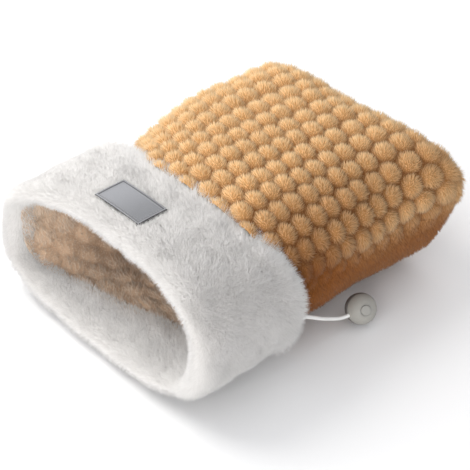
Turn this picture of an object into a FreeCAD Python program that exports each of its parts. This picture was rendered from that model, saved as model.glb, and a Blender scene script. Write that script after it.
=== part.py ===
import FreeCAD, Part
import Sketcher
import math
import os

# Heated hand warmer pouch: a plush body closed at the back, a thick fur cuff round its mouth,
# a heater sewn under the base lining, and a ball-shaped control on a short lead.
# Frame: +Z up, the mouth faces -Y, width along X, origin on the surface it rests on, under the
# middle of the pouch.

os.makedirs("parts", exist_ok=True)
doc = FreeCAD.newDocument("hand_warmer")

sizeRows = [
    # overall
    ("overall_depth", 280, "mouth lip to closed back"),
    ("cuff_width", 245.6, "cuff across X"),
    ("cuff_height", 101.2, "cuff, floor to crown"),
    ("cuff_length", 109, "cuff along Y, lip to body seam"),
    ("cuff_corner", 48, "cuff section corner radius"),
    ("cuff_slant", 30, "how far the top lip stands back from the bottom lip"),
    ("lip_round", 15, "rounding of the mouth lip"),
    ("cuff_back_round", 8, "rounding of the cuff's rear edge"),
    ("body_width", 207.8, "body across X"),
    ("body_height", 110, "body, floor to crown"),
    ("body_corner", 50, "body section corner radius"),
    ("back_round", 30, "rounding of the closed back end"),
    ("panel_seam_up", "=body_height / 2", "height of the seam between top and base panel"),
    # fabric layers
    ("layer_gap", 0.3, "clearance between sewn layers"),
    ("plush_thick", 7, "body plush with its bubbles"),
    ("wadding_thick", 9, "fibre wadding of the body"),
    ("lining_thick", 5, "pile lining of the body"),
    ("band_thick", 5, "fur fabric of the cuff"),
    ("facing_thick", 6, "fur fabric turned into the mouth"),
    ("facing_depth", 50, "how far the fur facing reaches in, where the lining takes over"),
    # mouth and throat
    ("mouth_half", 95, "half width of the opening at the lip"),
    ("mouth_low", 17, "floor of the opening at the lip"),
    ("mouth_high", "=cuff_height - 17.2", "roof of the opening at the lip"),
    ("mouth_corner", 30, "corner radius of the opening at the lip"),
    ("throat_low", 22, "floor of the opening at the seam"),
    ("throat_high", "=body_height - 26", "roof of the opening at the seam"),
    # label
    ("label_length", 49, "label along X"),
    ("label_width", 27, "label along Y"),
    ("label_thick", 1.2, "label"),
    ("label_x", -12, "label centre"),
    ("label_y", "=62 - overall_depth / 2", "label centre"),
    ("stitch_inset", 2.2, "stitch line from the label's edge"),
    ("stitch_wide", 0.7, "thread width"),
    # heater
    ("heater_half", 70, "half width of the heater sheets"),
    ("heater_front", "=cuff_length + 12 - overall_depth / 2", "front edge of the heater sheets"),
    ("heater_back", "=overall_depth / 2 - 43", "back edge of the heater sheets"),
    ("recess_gap", 1, "recess round the heater sheets"),
    ("carrier_thick", 0.8, "sheet that carries the wire"),
    ("cover_thick", 0.6, "sheet over the wire"),
    ("heater_depth", 4.7, "depth of the recess in the base wadding"),
    ("wire_radius", 0.8, "heating wire"),
    ("wire_pitch", 16, "between runs of the heating wire"),
    ("wire_near", "=heater_front + 27", "front end of the runs"),
    ("wire_far", "=heater_back - 13", "back end of the runs"),
    ("return_y", "=heater_front + 11", "run that leads back to the splice"),
    ("cutout_length", 14, "thermal cut-out"),
    ("cutout_wide", 6, "thermal cut-out"),
    ("cutout_thick", 2.7, "thermal cut-out"),
    ("cutout_x", 20, "thermal cut-out, left end"),
    ("splice_wide", 8, "splice sleeve"),
    ("splice_length", 13, "splice sleeve"),
    ("splice_thick", 2.7, "splice sleeve"),
    # leads
    ("inner_lead_radius", 1.2, "pair of wires inside the pouch"),
    ("lead_radius", 1.5, "control lead"),
    ("channel_gap", 0.4, "clearance round a lead or grommet in the fabric"),
    ("exit_x", "=body_width / 2 + 3.1", "lead exit in the cuff's rear wall, just outside the body"),
    ("exit_up", 35, "lead exit height"),
    ("grommet_radius", 3.4, "grommet in the cuff's rear wall"),
    ("nose_root", 2.4, "strain relief nose at its root"),
    ("nose_tip", 1.9, "strain relief nose at its tip"),
    ("nose_length", 5, "strain relief nose"),
    # control
    ("ball_radius", 12, "control housing"),
    ("ball_wall", 1.4, "control housing"),
    ("ball_clear", 0.3, "ball above the surface it rests on"),
    ("ball_x", "=exit_x + 4", "control centre"),
    ("ball_y", "=cuff_length + 68 - overall_depth / 2", "control centre"),
    ("ball_up", "=ball_radius + ball_clear", "control centre"),
    ("lead_near", 4, "lead's last bend outside the ball"),
    ("ball_azimuth", 65, "way the button faces, from -Y towards +X"),
    ("ball_elevation", 32, "way the button faces, above level"),
    ("parting_up", 3, "parting plane above the ball's centre, along its axis"),
    ("ring_radius", 5.2, "bore of the front shell for the light ring"),
    ("ring_wide", 1.05, "light ring"),
    ("fit_gap", 0.05, "clearance of pieces pressed into a bore"),
    ("hole_gap", 0.15, "clearance of the holes for the lead and the screw heads"),
    ("shank_gap", 0.1, "clearance of the screw holes in the rear shell"),
    ("notch_gap", 0.2, "clearance round the socket and the screw bosses"),
    ("screw_tip_gap", 0.3, "space past the screw's tip"),
    ("button_radius", 3.8, "button cap"),
    ("button_proud", 0.4, "button above the ball"),
    ("flange_radius", 4.8, "button flange"),
    ("flange_low", "=ball_radius - 3.65", "underside of the button flange, along the axis"),
    ("flange_thick", 0.8, "button flange"),
    ("stem_radius", 1.4, "button stem"),
    ("stem_low", 3.3, "lower end of the button stem"),
    ("button_travel", 0.6, "button press"),
    ("board_radius", "=ball_radius - 2.4", "circuit board"),
    ("board_up", -1.6, "top of the circuit board, along the axis"),
    ("board_thick", 1, "circuit board"),
    ("switch_side", 5, "tactile switch"),
    ("switch_height", 3.5, "tactile switch"),
    ("plunger_radius", 1.2, "switch plunger"),
    ("screw_offset", 6.4, "screws from the axis"),
    ("boss_radius", 1.9, "screw bosses"),
    ("shoulder_radius", 2.5, "boss shoulder that the board rests on"),
    ("front_boss_top", 7.2, "top of the front shell's bosses"),
    ("shank_radius", 0.75, "screw shank"),
    ("head_radius", 1.45, "screw head"),
    ("head_low", -7, "underside of the screw head"),
    ("head_high", 1, "screw head"),
    ("screw_reach", 3, "screw above the parting plane"),
    ("socket_long", 8.9, "power socket, long side"),
    ("socket_wide", 3.2, "power socket, short side"),
    ("socket_deep", 7.3, "power socket"),
    ("socket_wall", 0.3, "power socket"),
    ("tongue_thick", 0.7, "tongue in the power socket"),
    ("tongue_side", 1.2, "tongue from the socket's short sides, and the socket's floor"),
    ("tongue_back", 0.8, "tongue behind the socket's mouth"),
    ("tongue_root", 0.6, "end of the tongue inside the socket's floor"),
    ("clamp_radius", 2.4, "crimp on the lead inside the ball"),
    ("clamp_near", 7, "crimp, inner end from the axis"),
    ("clamp_length", 2, "crimp"),
    ("lead_end", 6, "end of the lead inside the ball, from the axis"),
    ("overshoot", 10, "how far a cutting tool goes past what it cuts"),
]
sheet = doc.addObject("Spreadsheet::Sheet", "sizes")
for row, (alias, value, note) in enumerate(sizeRows, 1):
    sheet.set(f"A{row}", note)
    sheet.setAlias(f"B{row}", alias)
for row, (alias, value, note) in enumerate(sizeRows, 1):
    sheet.set(f"B{row}", str(value))
doc.recompute()


def size(alias):
    return float(getattr(sheet, alias))


def bind(item, **formulas):
    """Ties properties to the sheet; a dot in a property's name is written as two underscores."""
    for prop, formula in formulas.items():
        item.setExpression(prop.replace("__", "."), formula)
    return item


def originPlane(body, role):
    return next(f for f in body.Origin.OriginFeatures if f.Role == role)


# ---------- helpers for sketches and primitives ----------

def sketchOn(body, name, role, offset="0"):
    sketch = body.newObject("Sketcher::SketchObject", name)
    sketch.AttachmentSupport = [(originPlane(body, role), "")]
    sketch.MapMode = "FlatFace"
    sketch.setExpression("AttachmentOffset.Base.z", offset)
    return sketch


def roundedSection(body, name, half, low, high, corner, offset):
    """A rounded rectangle across X, from low to high in Z, on a plane square to Y."""
    sketch = sketchOn(body, name, "XZ_Plane", offset)
    w, z0, z1, r = 100.0, 10.0, 90.0, 20.0
    point = FreeCAD.Vector
    corners = [(w - r, z0 + r, -90), (w - r, z1 - r, 0), (r - w, z1 - r, 90), (r - w, z0 + r, 180)]
    lines = [((r - w, z0), (w - r, z0)), ((w, z0 + r), (w, z1 - r)),
             ((w - r, z1), (r - w, z1)), ((-w, z1 - r), (-w, z0 + r))]
    for start, end in lines:
        sketch.addGeometry(Part.LineSegment(point(*start, 0), point(*end, 0)), False)
    for x, z, turn in corners:
        circle = Part.Circle(point(x, z, 0), point(0, 0, 1), r)
        arc = Part.ArcOfCircle(circle, math.radians(turn), math.radians(turn + 90))
        sketch.addGeometry(arc, False)
    for k in range(4):
        sketch.addConstraint(Sketcher.Constraint("Tangent", k, 2, 4 + k, 1))
        sketch.addConstraint(Sketcher.Constraint("Tangent", 4 + k, 2, (k + 1) % 4, 1))
    for k, way in enumerate(("Horizontal", "Vertical", "Horizontal", "Vertical")):
        sketch.addConstraint(Sketcher.Constraint(way, k))
    for k in (5, 6, 7):
        sketch.addConstraint(Sketcher.Constraint("Equal", 4, k))
    named = [
        ("corner", Sketcher.Constraint("Radius", 4, r), corner),
        ("right", Sketcher.Constraint("DistanceX", -1, 1, 1, 1, w), half),
        ("left", Sketcher.Constraint("DistanceX", 3, 1, -1, 1, w), half),
        ("low", Sketcher.Constraint("DistanceY", -1, 1, 0, 1, z0), low),
        ("high", Sketcher.Constraint("DistanceY", -1, 1, 2, 1, z1), high),
    ]
    for label, constraint, formula in named:
        index = sketch.addConstraint(constraint)
        sketch.renameConstraint(index, label)
        if label != "low":
            sketch.setExpression(f"Constraints.{label}", formula)
    # a distance of zero can't be held from the origin, so a section that stands on the floor
    # has its lower line on the horizontal axis
    if formulaValue(low) == 0:
        sketch.delConstraint(index - 1)
        sketch.addConstraint(Sketcher.Constraint("PointOnObject", 0, 1, -1))
    else:
        sketch.setExpression("Constraints.low", low)
    return sketch


def formulaValue(formula):
    return sheet.evalExpression(formula)


def newBody(name):
    body = doc.addObject("PartDesign::Body", name)
    body.Label = name
    return body


def edgesWhere(shape, test):
    """The names of the edges whose ends and middle all pass a test."""
    names = []
    for k, edge in enumerate(shape.Edges, 1):
        ends = [edge.valueAt(edge.FirstParameter), edge.valueAt(edge.LastParameter)]
        ends.append(edge.valueAt((edge.FirstParameter + edge.LastParameter) / 2))
        if all(test(p) for p in ends):
            names.append(f"Edge{k}")
    return names


def roundEdges(body, base, name, test, radius):
    fillet = body.newObject("PartDesign::Fillet", name)
    fillet.Base = (base, edgesWhere(base.Shape, test))
    fillet.setExpression("Radius", radius)
    doc.recompute()
    return fillet


def box(name, low, high):
    """A box from one corner to the other, each given as three formulas."""
    item = doc.addObject("Part::Box", name)
    bind(item, Length=f"({high[0]}) - ({low[0]})", Width=f"({high[1]}) - ({low[1]})",
         Height=f"({high[2]}) - ({low[2]})")
    return bind(item, Placement__Base__x=low[0], Placement__Base__y=low[1], Placement__Base__z=low[2])


def cylinder(name, radius, low, high, x="0", y="0"):
    """A cylinder along Z."""
    item = doc.addObject("Part::Cylinder", name)
    bind(item, Radius=radius, Height=f"({high}) - ({low})")
    return bind(item, Placement__Base__x=x, Placement__Base__y=y, Placement__Base__z=low)


def sphere(name, radius):
    return bind(doc.addObject("Part::Sphere", name), Radius=radius)


def cut(name, base, tool):
    item = doc.addObject("Part::Cut", name)
    item.Base, item.Tool = base, tool
    return item


def common(name, base, tool):
    item = doc.addObject("Part::Common", name)
    item.Base, item.Tool = base, tool
    return item


def fuse(name, *pieces):
    item = doc.addObject("Part::MultiFuse", name)
    item.Shapes = list(pieces)
    return item


def cutAll(name, base, tools):
    """Cuts several tools out of one piece; the last cut carries the name."""
    for k, tool in enumerate(tools):
        last = k == len(tools) - 1
        base = cut(name if last else f"{name}_cut{k + 1}", base, tool)
    return base


nodes = []


def keep(item, name):
    item.Label = name
    nodes.append(item)
    return item


# ---------- leads: straight runs joined by tangent arcs ----------

def routeWire(points, label):
    """Each arc is as large as its two runs allow; prints the radii."""
    points = [FreeCAD.Vector(*p) for p in points]
    edges, start, radii = [], points[0], []
    for before, corner, after in zip(points, points[1:], points[2:]):
        into, away = corner - before, after - corner
        shorter = min(into.Length, away.Length)
        into.normalize()
        away.normalize()
        half = into.getAngle(away) / 2
        reach = 0.45 * shorter
        radii.append(reach / math.tan(half))
        first, last = corner - into * reach, corner + away * reach
        bisector = (away - into).normalize()
        centre = corner + bisector * (radii[-1] / math.cos(half))
        middle = centre - bisector * radii[-1]
        edges.append(Part.LineSegment(start, first).toShape())
        edges.append(Part.Arc(first, middle, last).toShape())
        start = last
    edges.append(Part.LineSegment(start, points[-1]).toShape())
    print(label, "length", round(sum(e.Length for e in edges), 1),
          "radii", [round(r, 1) for r in radii])
    return Part.Wire(edges)


def tube(name, wire, radius):
    """A round tube along a wire, as a sweep of a circle."""
    spine = doc.addObject("Part::Feature", f"{name}_spine")
    spine.Shape = wire
    first = wire.OrderedEdges[0]
    section = doc.addObject("Part::Circle", f"{name}_section")
    section.setExpression("Radius", radius)
    along = first.tangentAt(first.FirstParameter)
    section.Placement = FreeCAD.Placement(
        first.valueAt(first.FirstParameter), FreeCAD.Rotation(FreeCAD.Vector(0, 0, 1), along))
    sweep = doc.addObject("Part::Sweep", name)
    sweep.Sections = [section]
    sweep.Spine = (spine, [f"Edge{k + 1}" for k in range(len(wire.Edges))])
    sweep.Solid = True
    sweep.Frenet = False
    return sweep


# ---------- body: nested layers, each split at the side seam ----------

front = "(-sizes.overall_depth / 2)"
back = "(sizes.overall_depth / 2)"
seam = f"({front} + sizes.cuff_length)"


# a low body keeps a flat strip between its corners
bodyCorner = "min(sizes.body_corner; sizes.body_height / 2 - 2)"


def bodyEnvelope(name, inset):
    """The pouch body shrunk by an inset, from the cuff seam to the closed back."""
    body = newBody(name)
    section = roundedSection(
        body, f"{name}_section", f"sizes.body_width / 2 - ({inset})", inset,
        f"sizes.body_height - ({inset})", f"{bodyCorner} - ({inset})", f"-{seam}")
    pad = body.newObject("PartDesign::Pad", f"{name}_pad")
    pad.Profile = section
    pad.Reversed = True
    pad.setExpression("Length", f"{back} - ({inset}) - {seam}")
    doc.recompute()
    end = formulaValue(f"{back} - ({inset})")
    roundEdges(body, pad, f"{name}_round", lambda p: abs(p.y - end) < 1e-4,
               f"sizes.back_round - ({inset})")
    return body


plushInner = "sizes.plush_thick"
waddingOuter = f"{plushInner} + sizes.layer_gap"
waddingInner = f"{waddingOuter} + sizes.wadding_thick"
liningOuter = f"{waddingInner} + sizes.layer_gap"
liningInner = f"{liningOuter} + sizes.lining_thick"

aboveSeam = box("above_seam", (f"-sizes.cuff_width", front, "sizes.panel_seam_up + sizes.layer_gap / 2"),
                ("sizes.cuff_width", f"{back} + sizes.overshoot", "sizes.body_height + sizes.overshoot"))
belowSeam = box("below_seam", (f"-sizes.cuff_width", front, "-sizes.overshoot"),
                ("sizes.cuff_width", f"{back} + sizes.overshoot", "sizes.panel_seam_up - sizes.layer_gap / 2"))

layers = {}
for layer, outer, inner in (("panel", "0", plushInner), ("wadding", waddingOuter, waddingInner),
                            ("lining", liningOuter, liningInner)):
    whole = cut(f"{layer}_whole", bodyEnvelope(f"{layer}_outside", outer),
                bodyEnvelope(f"{layer}_inside", inner))
    layers[layer] = {"top": common(f"{layer}_top_half", whole, aboveSeam),
                     "base": common(f"{layer}_base_half", whole, belowSeam)}

# ---------- cuff: fur band outside, wadding, fur facing turned into the mouth ----------

def lipAt(z, inset):
    """Y of the slanting mouth plane at a height, as a formula. The plane starts far enough
    forward for the rounded bottom lip to reach the front of the pouch."""
    lean = "(sizes.cuff_slant / sizes.cuff_height)"
    forward = f"sizes.lip_round * ({lean} + sqrt(1 + {lean} ^ 2) - 1)"
    return f"{front} - {forward} + ({inset}) + {lean} * ({z})"


def cuffEnvelope(name, inset):
    body = newBody(name)
    section = roundedSection(
        body, f"{name}_section", f"sizes.cuff_width / 2 - ({inset})", inset,
        f"sizes.cuff_height - ({inset})", f"sizes.cuff_corner - ({inset})", f"-({seam} - ({inset}))")
    pad = body.newObject("PartDesign::Pad", f"{name}_pad")
    pad.Profile = section
    pad.setExpression("Length", "sizes.cuff_length + sizes.overshoot")
    slant = sketchOn(body, f"{name}_slant", "YZ_Plane")
    corners = [(-200, -10), (-140, -10), (-110, 110), (-200, 110)]
    for k in range(4):
        start, end = corners[k], corners[(k + 1) % 4]
        slant.addGeometry(Part.LineSegment(FreeCAD.Vector(*start, 0), FreeCAD.Vector(*end, 0)), False)
    for k in range(4):
        slant.addConstraint(Sketcher.Constraint("Coincident", k, 2, (k + 1) % 4, 1))
    slant.addConstraint(Sketcher.Constraint("Horizontal", 0))
    slant.addConstraint(Sketcher.Constraint("Horizontal", 2))
    slant.addConstraint(Sketcher.Constraint("Vertical", 3))
    distances = [
        ("bottom", Sketcher.Constraint("DistanceY", 0, 1, -1, 1, 10), "sizes.overshoot"),
        ("top", Sketcher.Constraint("DistanceY", -1, 1, 2, 1, 110), "sizes.cuff_height + sizes.overshoot"),
        ("ahead", Sketcher.Constraint("DistanceX", 0, 1, -1, 1, 200), "sizes.overall_depth"),
        ("lip_low", Sketcher.Constraint("DistanceX", 0, 2, -1, 1, 140), f"-({lipAt('-sizes.overshoot', inset)})"),
        ("lip_high", Sketcher.Constraint("DistanceX", 2, 1, -1, 1, 110),
         f"-({lipAt('sizes.cuff_height + sizes.overshoot', inset)})"),
    ]
    for label, constraint, formula in distances:
        slant.renameConstraint(slant.addConstraint(constraint), label)
        slant.setExpression(f"Constraints.{label}", formula)
    mouth = body.newObject("PartDesign::Pocket", f"{name}_mouth")
    mouth.Profile = slant
    mouth.Midplane = True
    mouth.setExpression("Length", "sizes.cuff_width + 2 * sizes.overshoot")
    doc.recompute()
    assert mouth.Shape.Volume < pad.Shape.Volume

    def onLip(p):
        return abs(p.y - formulaValue(lipAt(str(p.z), inset))) < 1e-3

    lip = roundEdges(body, mouth, f"{name}_lip", onLip, f"sizes.lip_round - ({inset})")
    end = formulaValue(f"{seam} - ({inset})")
    roundEdges(body, lip, f"{name}_back", lambda p: abs(p.y - end) < 1e-4,
               f"sizes.cuff_back_round - ({inset})")
    return body


def mouthSolid(name, grow):
    """The opening through the cuff, wider at the lip than at the seam, grown by an amount."""
    body = newBody(name)
    lip = roundedSection(
        body, f"{name}_lip", f"sizes.mouth_half + ({grow})", f"sizes.mouth_low - ({grow})",
        f"sizes.mouth_high + ({grow})", f"sizes.mouth_corner + ({grow})", f"-{front}")
    throat = roundedSection(
        body, f"{name}_throat", f"sizes.body_width / 2 - ({liningInner}) + ({grow})",
        f"sizes.throat_low - ({grow})", f"sizes.throat_high + ({grow})",
        f"min({bodyCorner} - ({liningInner}); (sizes.throat_high - sizes.throat_low) / 2 - 2) + ({grow})",
        f"-{seam}")
    loft = body.newObject("PartDesign::AdditiveLoft", f"{name}_loft")
    loft.Profile = lip
    loft.Sections = [throat]
    loft.Ruled = True
    doc.recompute()
    return body


bandInner = "sizes.band_thick"
coreOuter = f"{bandInner} + sizes.layer_gap"
cuffOutside = cuffEnvelope("cuff_outside", "0")
cuffInside = cuffEnvelope("cuff_inside", bandInner)
cuffCore = cuffEnvelope("cuff_core", coreOuter)
opening = mouthSolid("opening", "0")
facingOutside = mouthSolid("facing_outside", "sizes.facing_thick")
bandMouth = mouthSolid("band_mouth", "sizes.facing_thick + sizes.layer_gap")

bandWhole = cut("band_whole", cut("band_skin", cuffOutside, cuffInside), bandMouth)
coreWhole = cut("core_whole", cuffCore, bandMouth)
mouthWall = common("mouth_wall", cut("mouth_tube", facingOutside, opening), cuffOutside)
facingEnd = f"({front} + sizes.facing_depth)"
facingReach = box("facing_reach", ("-sizes.cuff_width", f"{front} - sizes.overshoot", "-sizes.overshoot"),
                  ("sizes.cuff_width", facingEnd, "sizes.cuff_height + sizes.overshoot"))
throatReach = box("throat_reach",
                  ("-sizes.cuff_width", f"{facingEnd} + sizes.layer_gap", "-sizes.overshoot"),
                  ("sizes.cuff_width", seam, "sizes.cuff_height + sizes.overshoot"))
keep(common("facing", mouthWall, facingReach), "cuff_inner_facing")
throatWall = common("throat_wall", mouthWall, throatReach)

# ---------- heater in a recess of the base wadding ----------

recessTop = f"({waddingInner})"
recessLow = f"({recessTop} - sizes.heater_depth)"
carrierTop = f"({recessLow} + sizes.layer_gap / 2 + sizes.carrier_thick)"
wireUp = f"({carrierTop} + sizes.wire_radius + sizes.layer_gap / 3)"
recess = box("heater_recess",
             ("-sizes.heater_half - sizes.recess_gap", "sizes.heater_front - sizes.recess_gap", recessLow),
             ("sizes.heater_half + sizes.recess_gap", "sizes.heater_back + sizes.recess_gap",
              f"{recessTop} + sizes.overshoot"))
keep(box("carrier", ("-sizes.heater_half", "sizes.heater_front", f"{carrierTop} - sizes.carrier_thick"),
         ("sizes.heater_half", "sizes.heater_back", carrierTop)), "heater_carrier")
keep(box("cover", ("-sizes.heater_half", "sizes.heater_front", f"{recessTop} - sizes.cover_thick"),
         ("sizes.heater_half", "sizes.heater_back", recessTop)), "heater_cover")

runs = 8
pitch = size("wire_pitch")
runX = [pitch * (runs - 1) / 2 - pitch * k for k in range(runs)]
spliceX = runX[0]
spliceBack = f"(sizes.return_y + sizes.splice_length / 2)"
splice = box("splice", (f"{spliceX} - sizes.splice_wide / 2", f"{spliceBack} - sizes.splice_length",
                        f"{carrierTop} + sizes.layer_gap / 3"),
             (f"{spliceX} + sizes.splice_wide / 2", spliceBack,
              f"{carrierTop} + sizes.layer_gap / 3 + sizes.splice_thick"))
keep(splice, "splice_sleeve")
cutoutMid = "sizes.return_y"
keep(box("cutout", ("sizes.cutout_x", f"{cutoutMid} - sizes.cutout_wide / 2",
                    f"{carrierTop} + sizes.layer_gap / 3"),
         ("sizes.cutout_x + sizes.cutout_length", f"{cutoutMid} + sizes.cutout_wide / 2",
          f"{carrierTop} + sizes.layer_gap / 3 + sizes.cutout_thick")), "thermal_cutout")


def heatingPath():
    """Runs to and fro over the carrier, then back along its front to the thermal cut-out."""
    up, bend = formulaValue(wireUp), pitch / 2
    near, far, homeY = size("wire_near"), size("wire_far"), size("return_y")
    point = FreeCAD.Vector
    edges = []
    start = point(runX[0], formulaValue(spliceBack), up)
    for k, x in enumerate(runX):
        outward = k % 2 == 0
        last = k == runs - 1
        end = point(x, far if outward else (homeY + bend if last else near), up)
        edges.append(Part.LineSegment(start, end).toShape())
        if last:
            break
        top = end + point(-bend, bend if outward else -bend, 0)
        start = point(x - pitch, end.y, up)
        edges.append(Part.Arc(end, top, start).toShape())
    corner = bend * (1 - math.sqrt(0.5))
    turned = end + point(bend, -bend, 0)
    edges.append(Part.Arc(end, end + point(corner, -bend * math.sqrt(0.5), 0), turned).toShape())
    edges.append(Part.LineSegment(turned, point(size("cutout_x"), homeY, up)).toShape())
    return Part.Wire(edges)


longWire = tube("heating_runs", heatingPath(), "sizes.wire_radius")
linkWire = doc.addObject("Part::Cylinder", "heating_link")
bind(linkWire, Radius="sizes.wire_radius",
     Height=f"{spliceX} - sizes.splice_wide / 2 - sizes.cutout_x - sizes.cutout_length",
     Placement__Base__x="sizes.cutout_x + sizes.cutout_length", Placement__Base__y="sizes.return_y",
     Placement__Base__z=wireUp)
linkWire.Placement.Rotation = FreeCAD.Rotation(FreeCAD.Vector(0, 1, 0), 90)
heatingWire = doc.addObject("Part::Compound", "heating_wire")
heatingWire.Links = [longWire, linkWire]
keep(heatingWire, "heating_wire")

# ---------- inner lead: splice to grommet, looping inside the cuff's wadding ----------

seamY = formulaValue(seam)
exitX, exitUp = size("exit_x"), size("exit_up")
spliceUp = formulaValue(f"{carrierTop} + sizes.layer_gap / 3 + sizes.splice_thick / 2")
wallInner = seamY - size("band_thick")
innerRoute = [
    (spliceX, formulaValue(spliceBack) - size("splice_length"), spliceUp),
    (spliceX, seamY + 3, spliceUp),
    (spliceX + 2.5, seamY - 10, spliceUp - 1.5),
    (spliceX + 14, seamY - 19.5, spliceUp - 3),
    (spliceX + 30, seamY - 25, spliceUp - 1),
    (exitX - 9, seamY - 26, exitUp - 15),
    (exitX - 1.5, seamY - 24, exitUp - 4.5),
    (exitX, seamY - 15.5, exitUp),
    (exitX, wallInner, exitUp),
]
innerWire = routeWire(innerRoute, "inner_lead")
keep(tube("inner_lead", innerWire, "sizes.inner_lead_radius"), "inner_lead")
channel = tube("lead_channel", innerWire, "sizes.inner_lead_radius + sizes.channel_gap")

grommetBody = newBody("grommet")
profile = sketchOn(grommetBody, "grommet_profile", "XY_Plane")
sleeve, root, tip = size("grommet_radius"), size("nose_root"), size("nose_tip")
wall, noseTop = size("band_thick"), size("band_thick") + size("nose_length")
outline = [(0, 0), (sleeve, 0), (sleeve, wall), (root, wall), (tip, noseTop), (0, noseTop)]
for k in range(len(outline)):
    start, end = outline[k], outline[(k + 1) % len(outline)]
    profile.addGeometry(Part.LineSegment(FreeCAD.Vector(*start, 0), FreeCAD.Vector(*end, 0)), False)
for k in range(len(outline)):
    profile.addConstraint(Sketcher.Constraint("Coincident", k, 2, (k + 1) % len(outline), 1))
for line in (0, 2, 4):
    profile.addConstraint(Sketcher.Constraint("Horizontal", line))
for line in (1, 5):
    profile.addConstraint(Sketcher.Constraint("Vertical", line))
profile.addConstraint(Sketcher.Constraint("Coincident", 0, 1, -1, 1))
for label, constraint, formula in (
        ("sleeve", Sketcher.Constraint("DistanceX", -1, 1, 1, 1, sleeve), "sizes.grommet_radius"),
        ("root", Sketcher.Constraint("DistanceX", -1, 1, 3, 1, root), "sizes.nose_root"),
        ("tip", Sketcher.Constraint("DistanceX", -1, 1, 4, 1, tip), "sizes.nose_tip"),
        ("wall", Sketcher.Constraint("DistanceY", -1, 1, 2, 1, wall), "sizes.band_thick"),
        ("nose", Sketcher.Constraint("DistanceY", 2, 1, 4, 1, noseTop - wall), "sizes.nose_length")):
    profile.renameConstraint(profile.addConstraint(constraint), label)
    profile.setExpression(f"Constraints.{label}", formula)
turned = grommetBody.newObject("PartDesign::Revolution", "grommet_turned")
turned.Profile = profile
turned.ReferenceAxis = (profile, ["V_Axis"])
turned.Angle = 360
bind(grommetBody, Placement__Base__x="sizes.exit_x", Placement__Base__y=f"{seam} - sizes.band_thick",
     Placement__Base__z="sizes.exit_up")
keep(grommetBody, "lead_exit_grommet")

grommetHole = doc.addObject("Part::Cylinder", "grommet_hole")
bind(grommetHole, Radius="sizes.grommet_radius + sizes.channel_gap", Height="sizes.band_thick + sizes.overshoot",
     Placement__Base__x="sizes.exit_x", Placement__Base__y=f"{seam} + sizes.overshoot",
     Placement__Base__z="sizes.exit_up")
grommetHole.Placement.Rotation = FreeCAD.Rotation(FreeCAD.Vector(1, 0, 0), 90)

keep(layers["panel"]["top"], "body_top_panel")
keep(layers["panel"]["base"], "body_base_panel")
keep(layers["wadding"]["top"], "top_wadding")
keep(cutAll("base_wadding", layers["wadding"]["base"], [recess, channel]), "base_wadding")
for side, half in (("top", aboveSeam), ("base", belowSeam)):
    keep(fuse(f"{side}_lining", layers["lining"][side], common(f"{side}_throat", throatWall, half)),
         f"{side}_lining")
keep(cutAll("cuff_outer_band", bandWhole, [channel, grommetHole]), "cuff_outer_band")
keep(cut("cuff_wadding", coreWhole, channel), "cuff_wadding")

# ---------- label on the cuff's crown ----------

labelLow = "(sizes.cuff_height + sizes.layer_gap / 2)"


def labelBox(name, inset, low, high):
    half = (f"(sizes.label_length / 2 - ({inset}))", f"(sizes.label_width / 2 - ({inset}))")
    return box(name, (f"sizes.label_x - {half[0]}", f"sizes.label_y - {half[1]}", low),
               (f"sizes.label_x + {half[0]}", f"sizes.label_y + {half[1]}", high))


labelTop = f"({labelLow} + sizes.label_thick)"
keep(labelBox("label", "0", labelLow, labelTop), "label_patch")
keep(cut("stitching", labelBox("stitch_outside", "sizes.stitch_inset", labelTop,
                               f"{labelTop} + sizes.stitch_wide / 2"),
         labelBox("stitch_inside", "sizes.stitch_inset + sizes.stitch_wide", f"{labelTop} - sizes.stitch_wide",
                  f"{labelTop} + sizes.stitch_wide")), "label_stitching")

# ---------- control: a ball in two shells, along its own axis, then placed ----------

ball = sphere("ball", "sizes.ball_radius")
hollow = sphere("ball_hollow", "sizes.ball_radius - sizes.ball_wall")
skin = cut("ball_skin", ball, hollow)
wide = "(sizes.ball_radius + sizes.overshoot)"
rearHalf = box("rear_half", (f"-{wide}", f"-{wide}", f"-{wide}"), (wide, wide, "sizes.parting_up"))
frontHalf = box("front_half", (f"-{wide}", f"-{wide}", "sizes.parting_up"), (wide, wide, wide))


def screwColumn(name, radius, low, high):
    """The same cylinder at both screw places."""
    pair = [cylinder(f"{name}_{k}", radius, low, high, y=f"{side} * sizes.screw_offset")
            for k, side in enumerate((1, -1))]
    return fuse(name, *pair)


boardLow = "(sizes.board_up - sizes.board_thick)"
leadHole = doc.addObject("Part::Cylinder", "lead_hole")
bind(leadHole, Radius="sizes.lead_radius + sizes.hole_gap", Height=wide, Placement__Base__x="sizes.lead_end",
     Placement__Base__z="sizes.parting_up")
leadHole.Placement.Rotation = FreeCAD.Rotation(FreeCAD.Vector(0, 1, 0), 90)

rearBosses = common("rear_bosses", screwColumn("rear_columns", "sizes.boss_radius", f"-{wide}",
                                               "sizes.parting_up"), ball)
shoulders = common("shoulders", screwColumn("shoulder_columns", "sizes.shoulder_radius", f"-{wide}",
                                            boardLow), ball)
rearSolid = fuse("rear_solid", common("rear_skin", skin, rearHalf), rearBosses, shoulders)
aperture = box("socket_aperture",
               ("-sizes.socket_long / 2 - sizes.notch_gap", "-sizes.socket_wide / 2 - sizes.notch_gap", f"-{wide}"),
               ("sizes.socket_long / 2 + sizes.notch_gap", "sizes.socket_wide / 2 + sizes.notch_gap", boardLow))
rearShell = cutAll("rear_shell", rearSolid, [
    screwColumn("rear_holes", "sizes.shank_radius + sizes.shank_gap", f"-{wide}", wide),
    screwColumn("head_holes", "sizes.head_radius + sizes.hole_gap", f"-{wide}",
                 "sizes.head_low + sizes.head_high"),
    aperture, leadHole])

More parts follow.
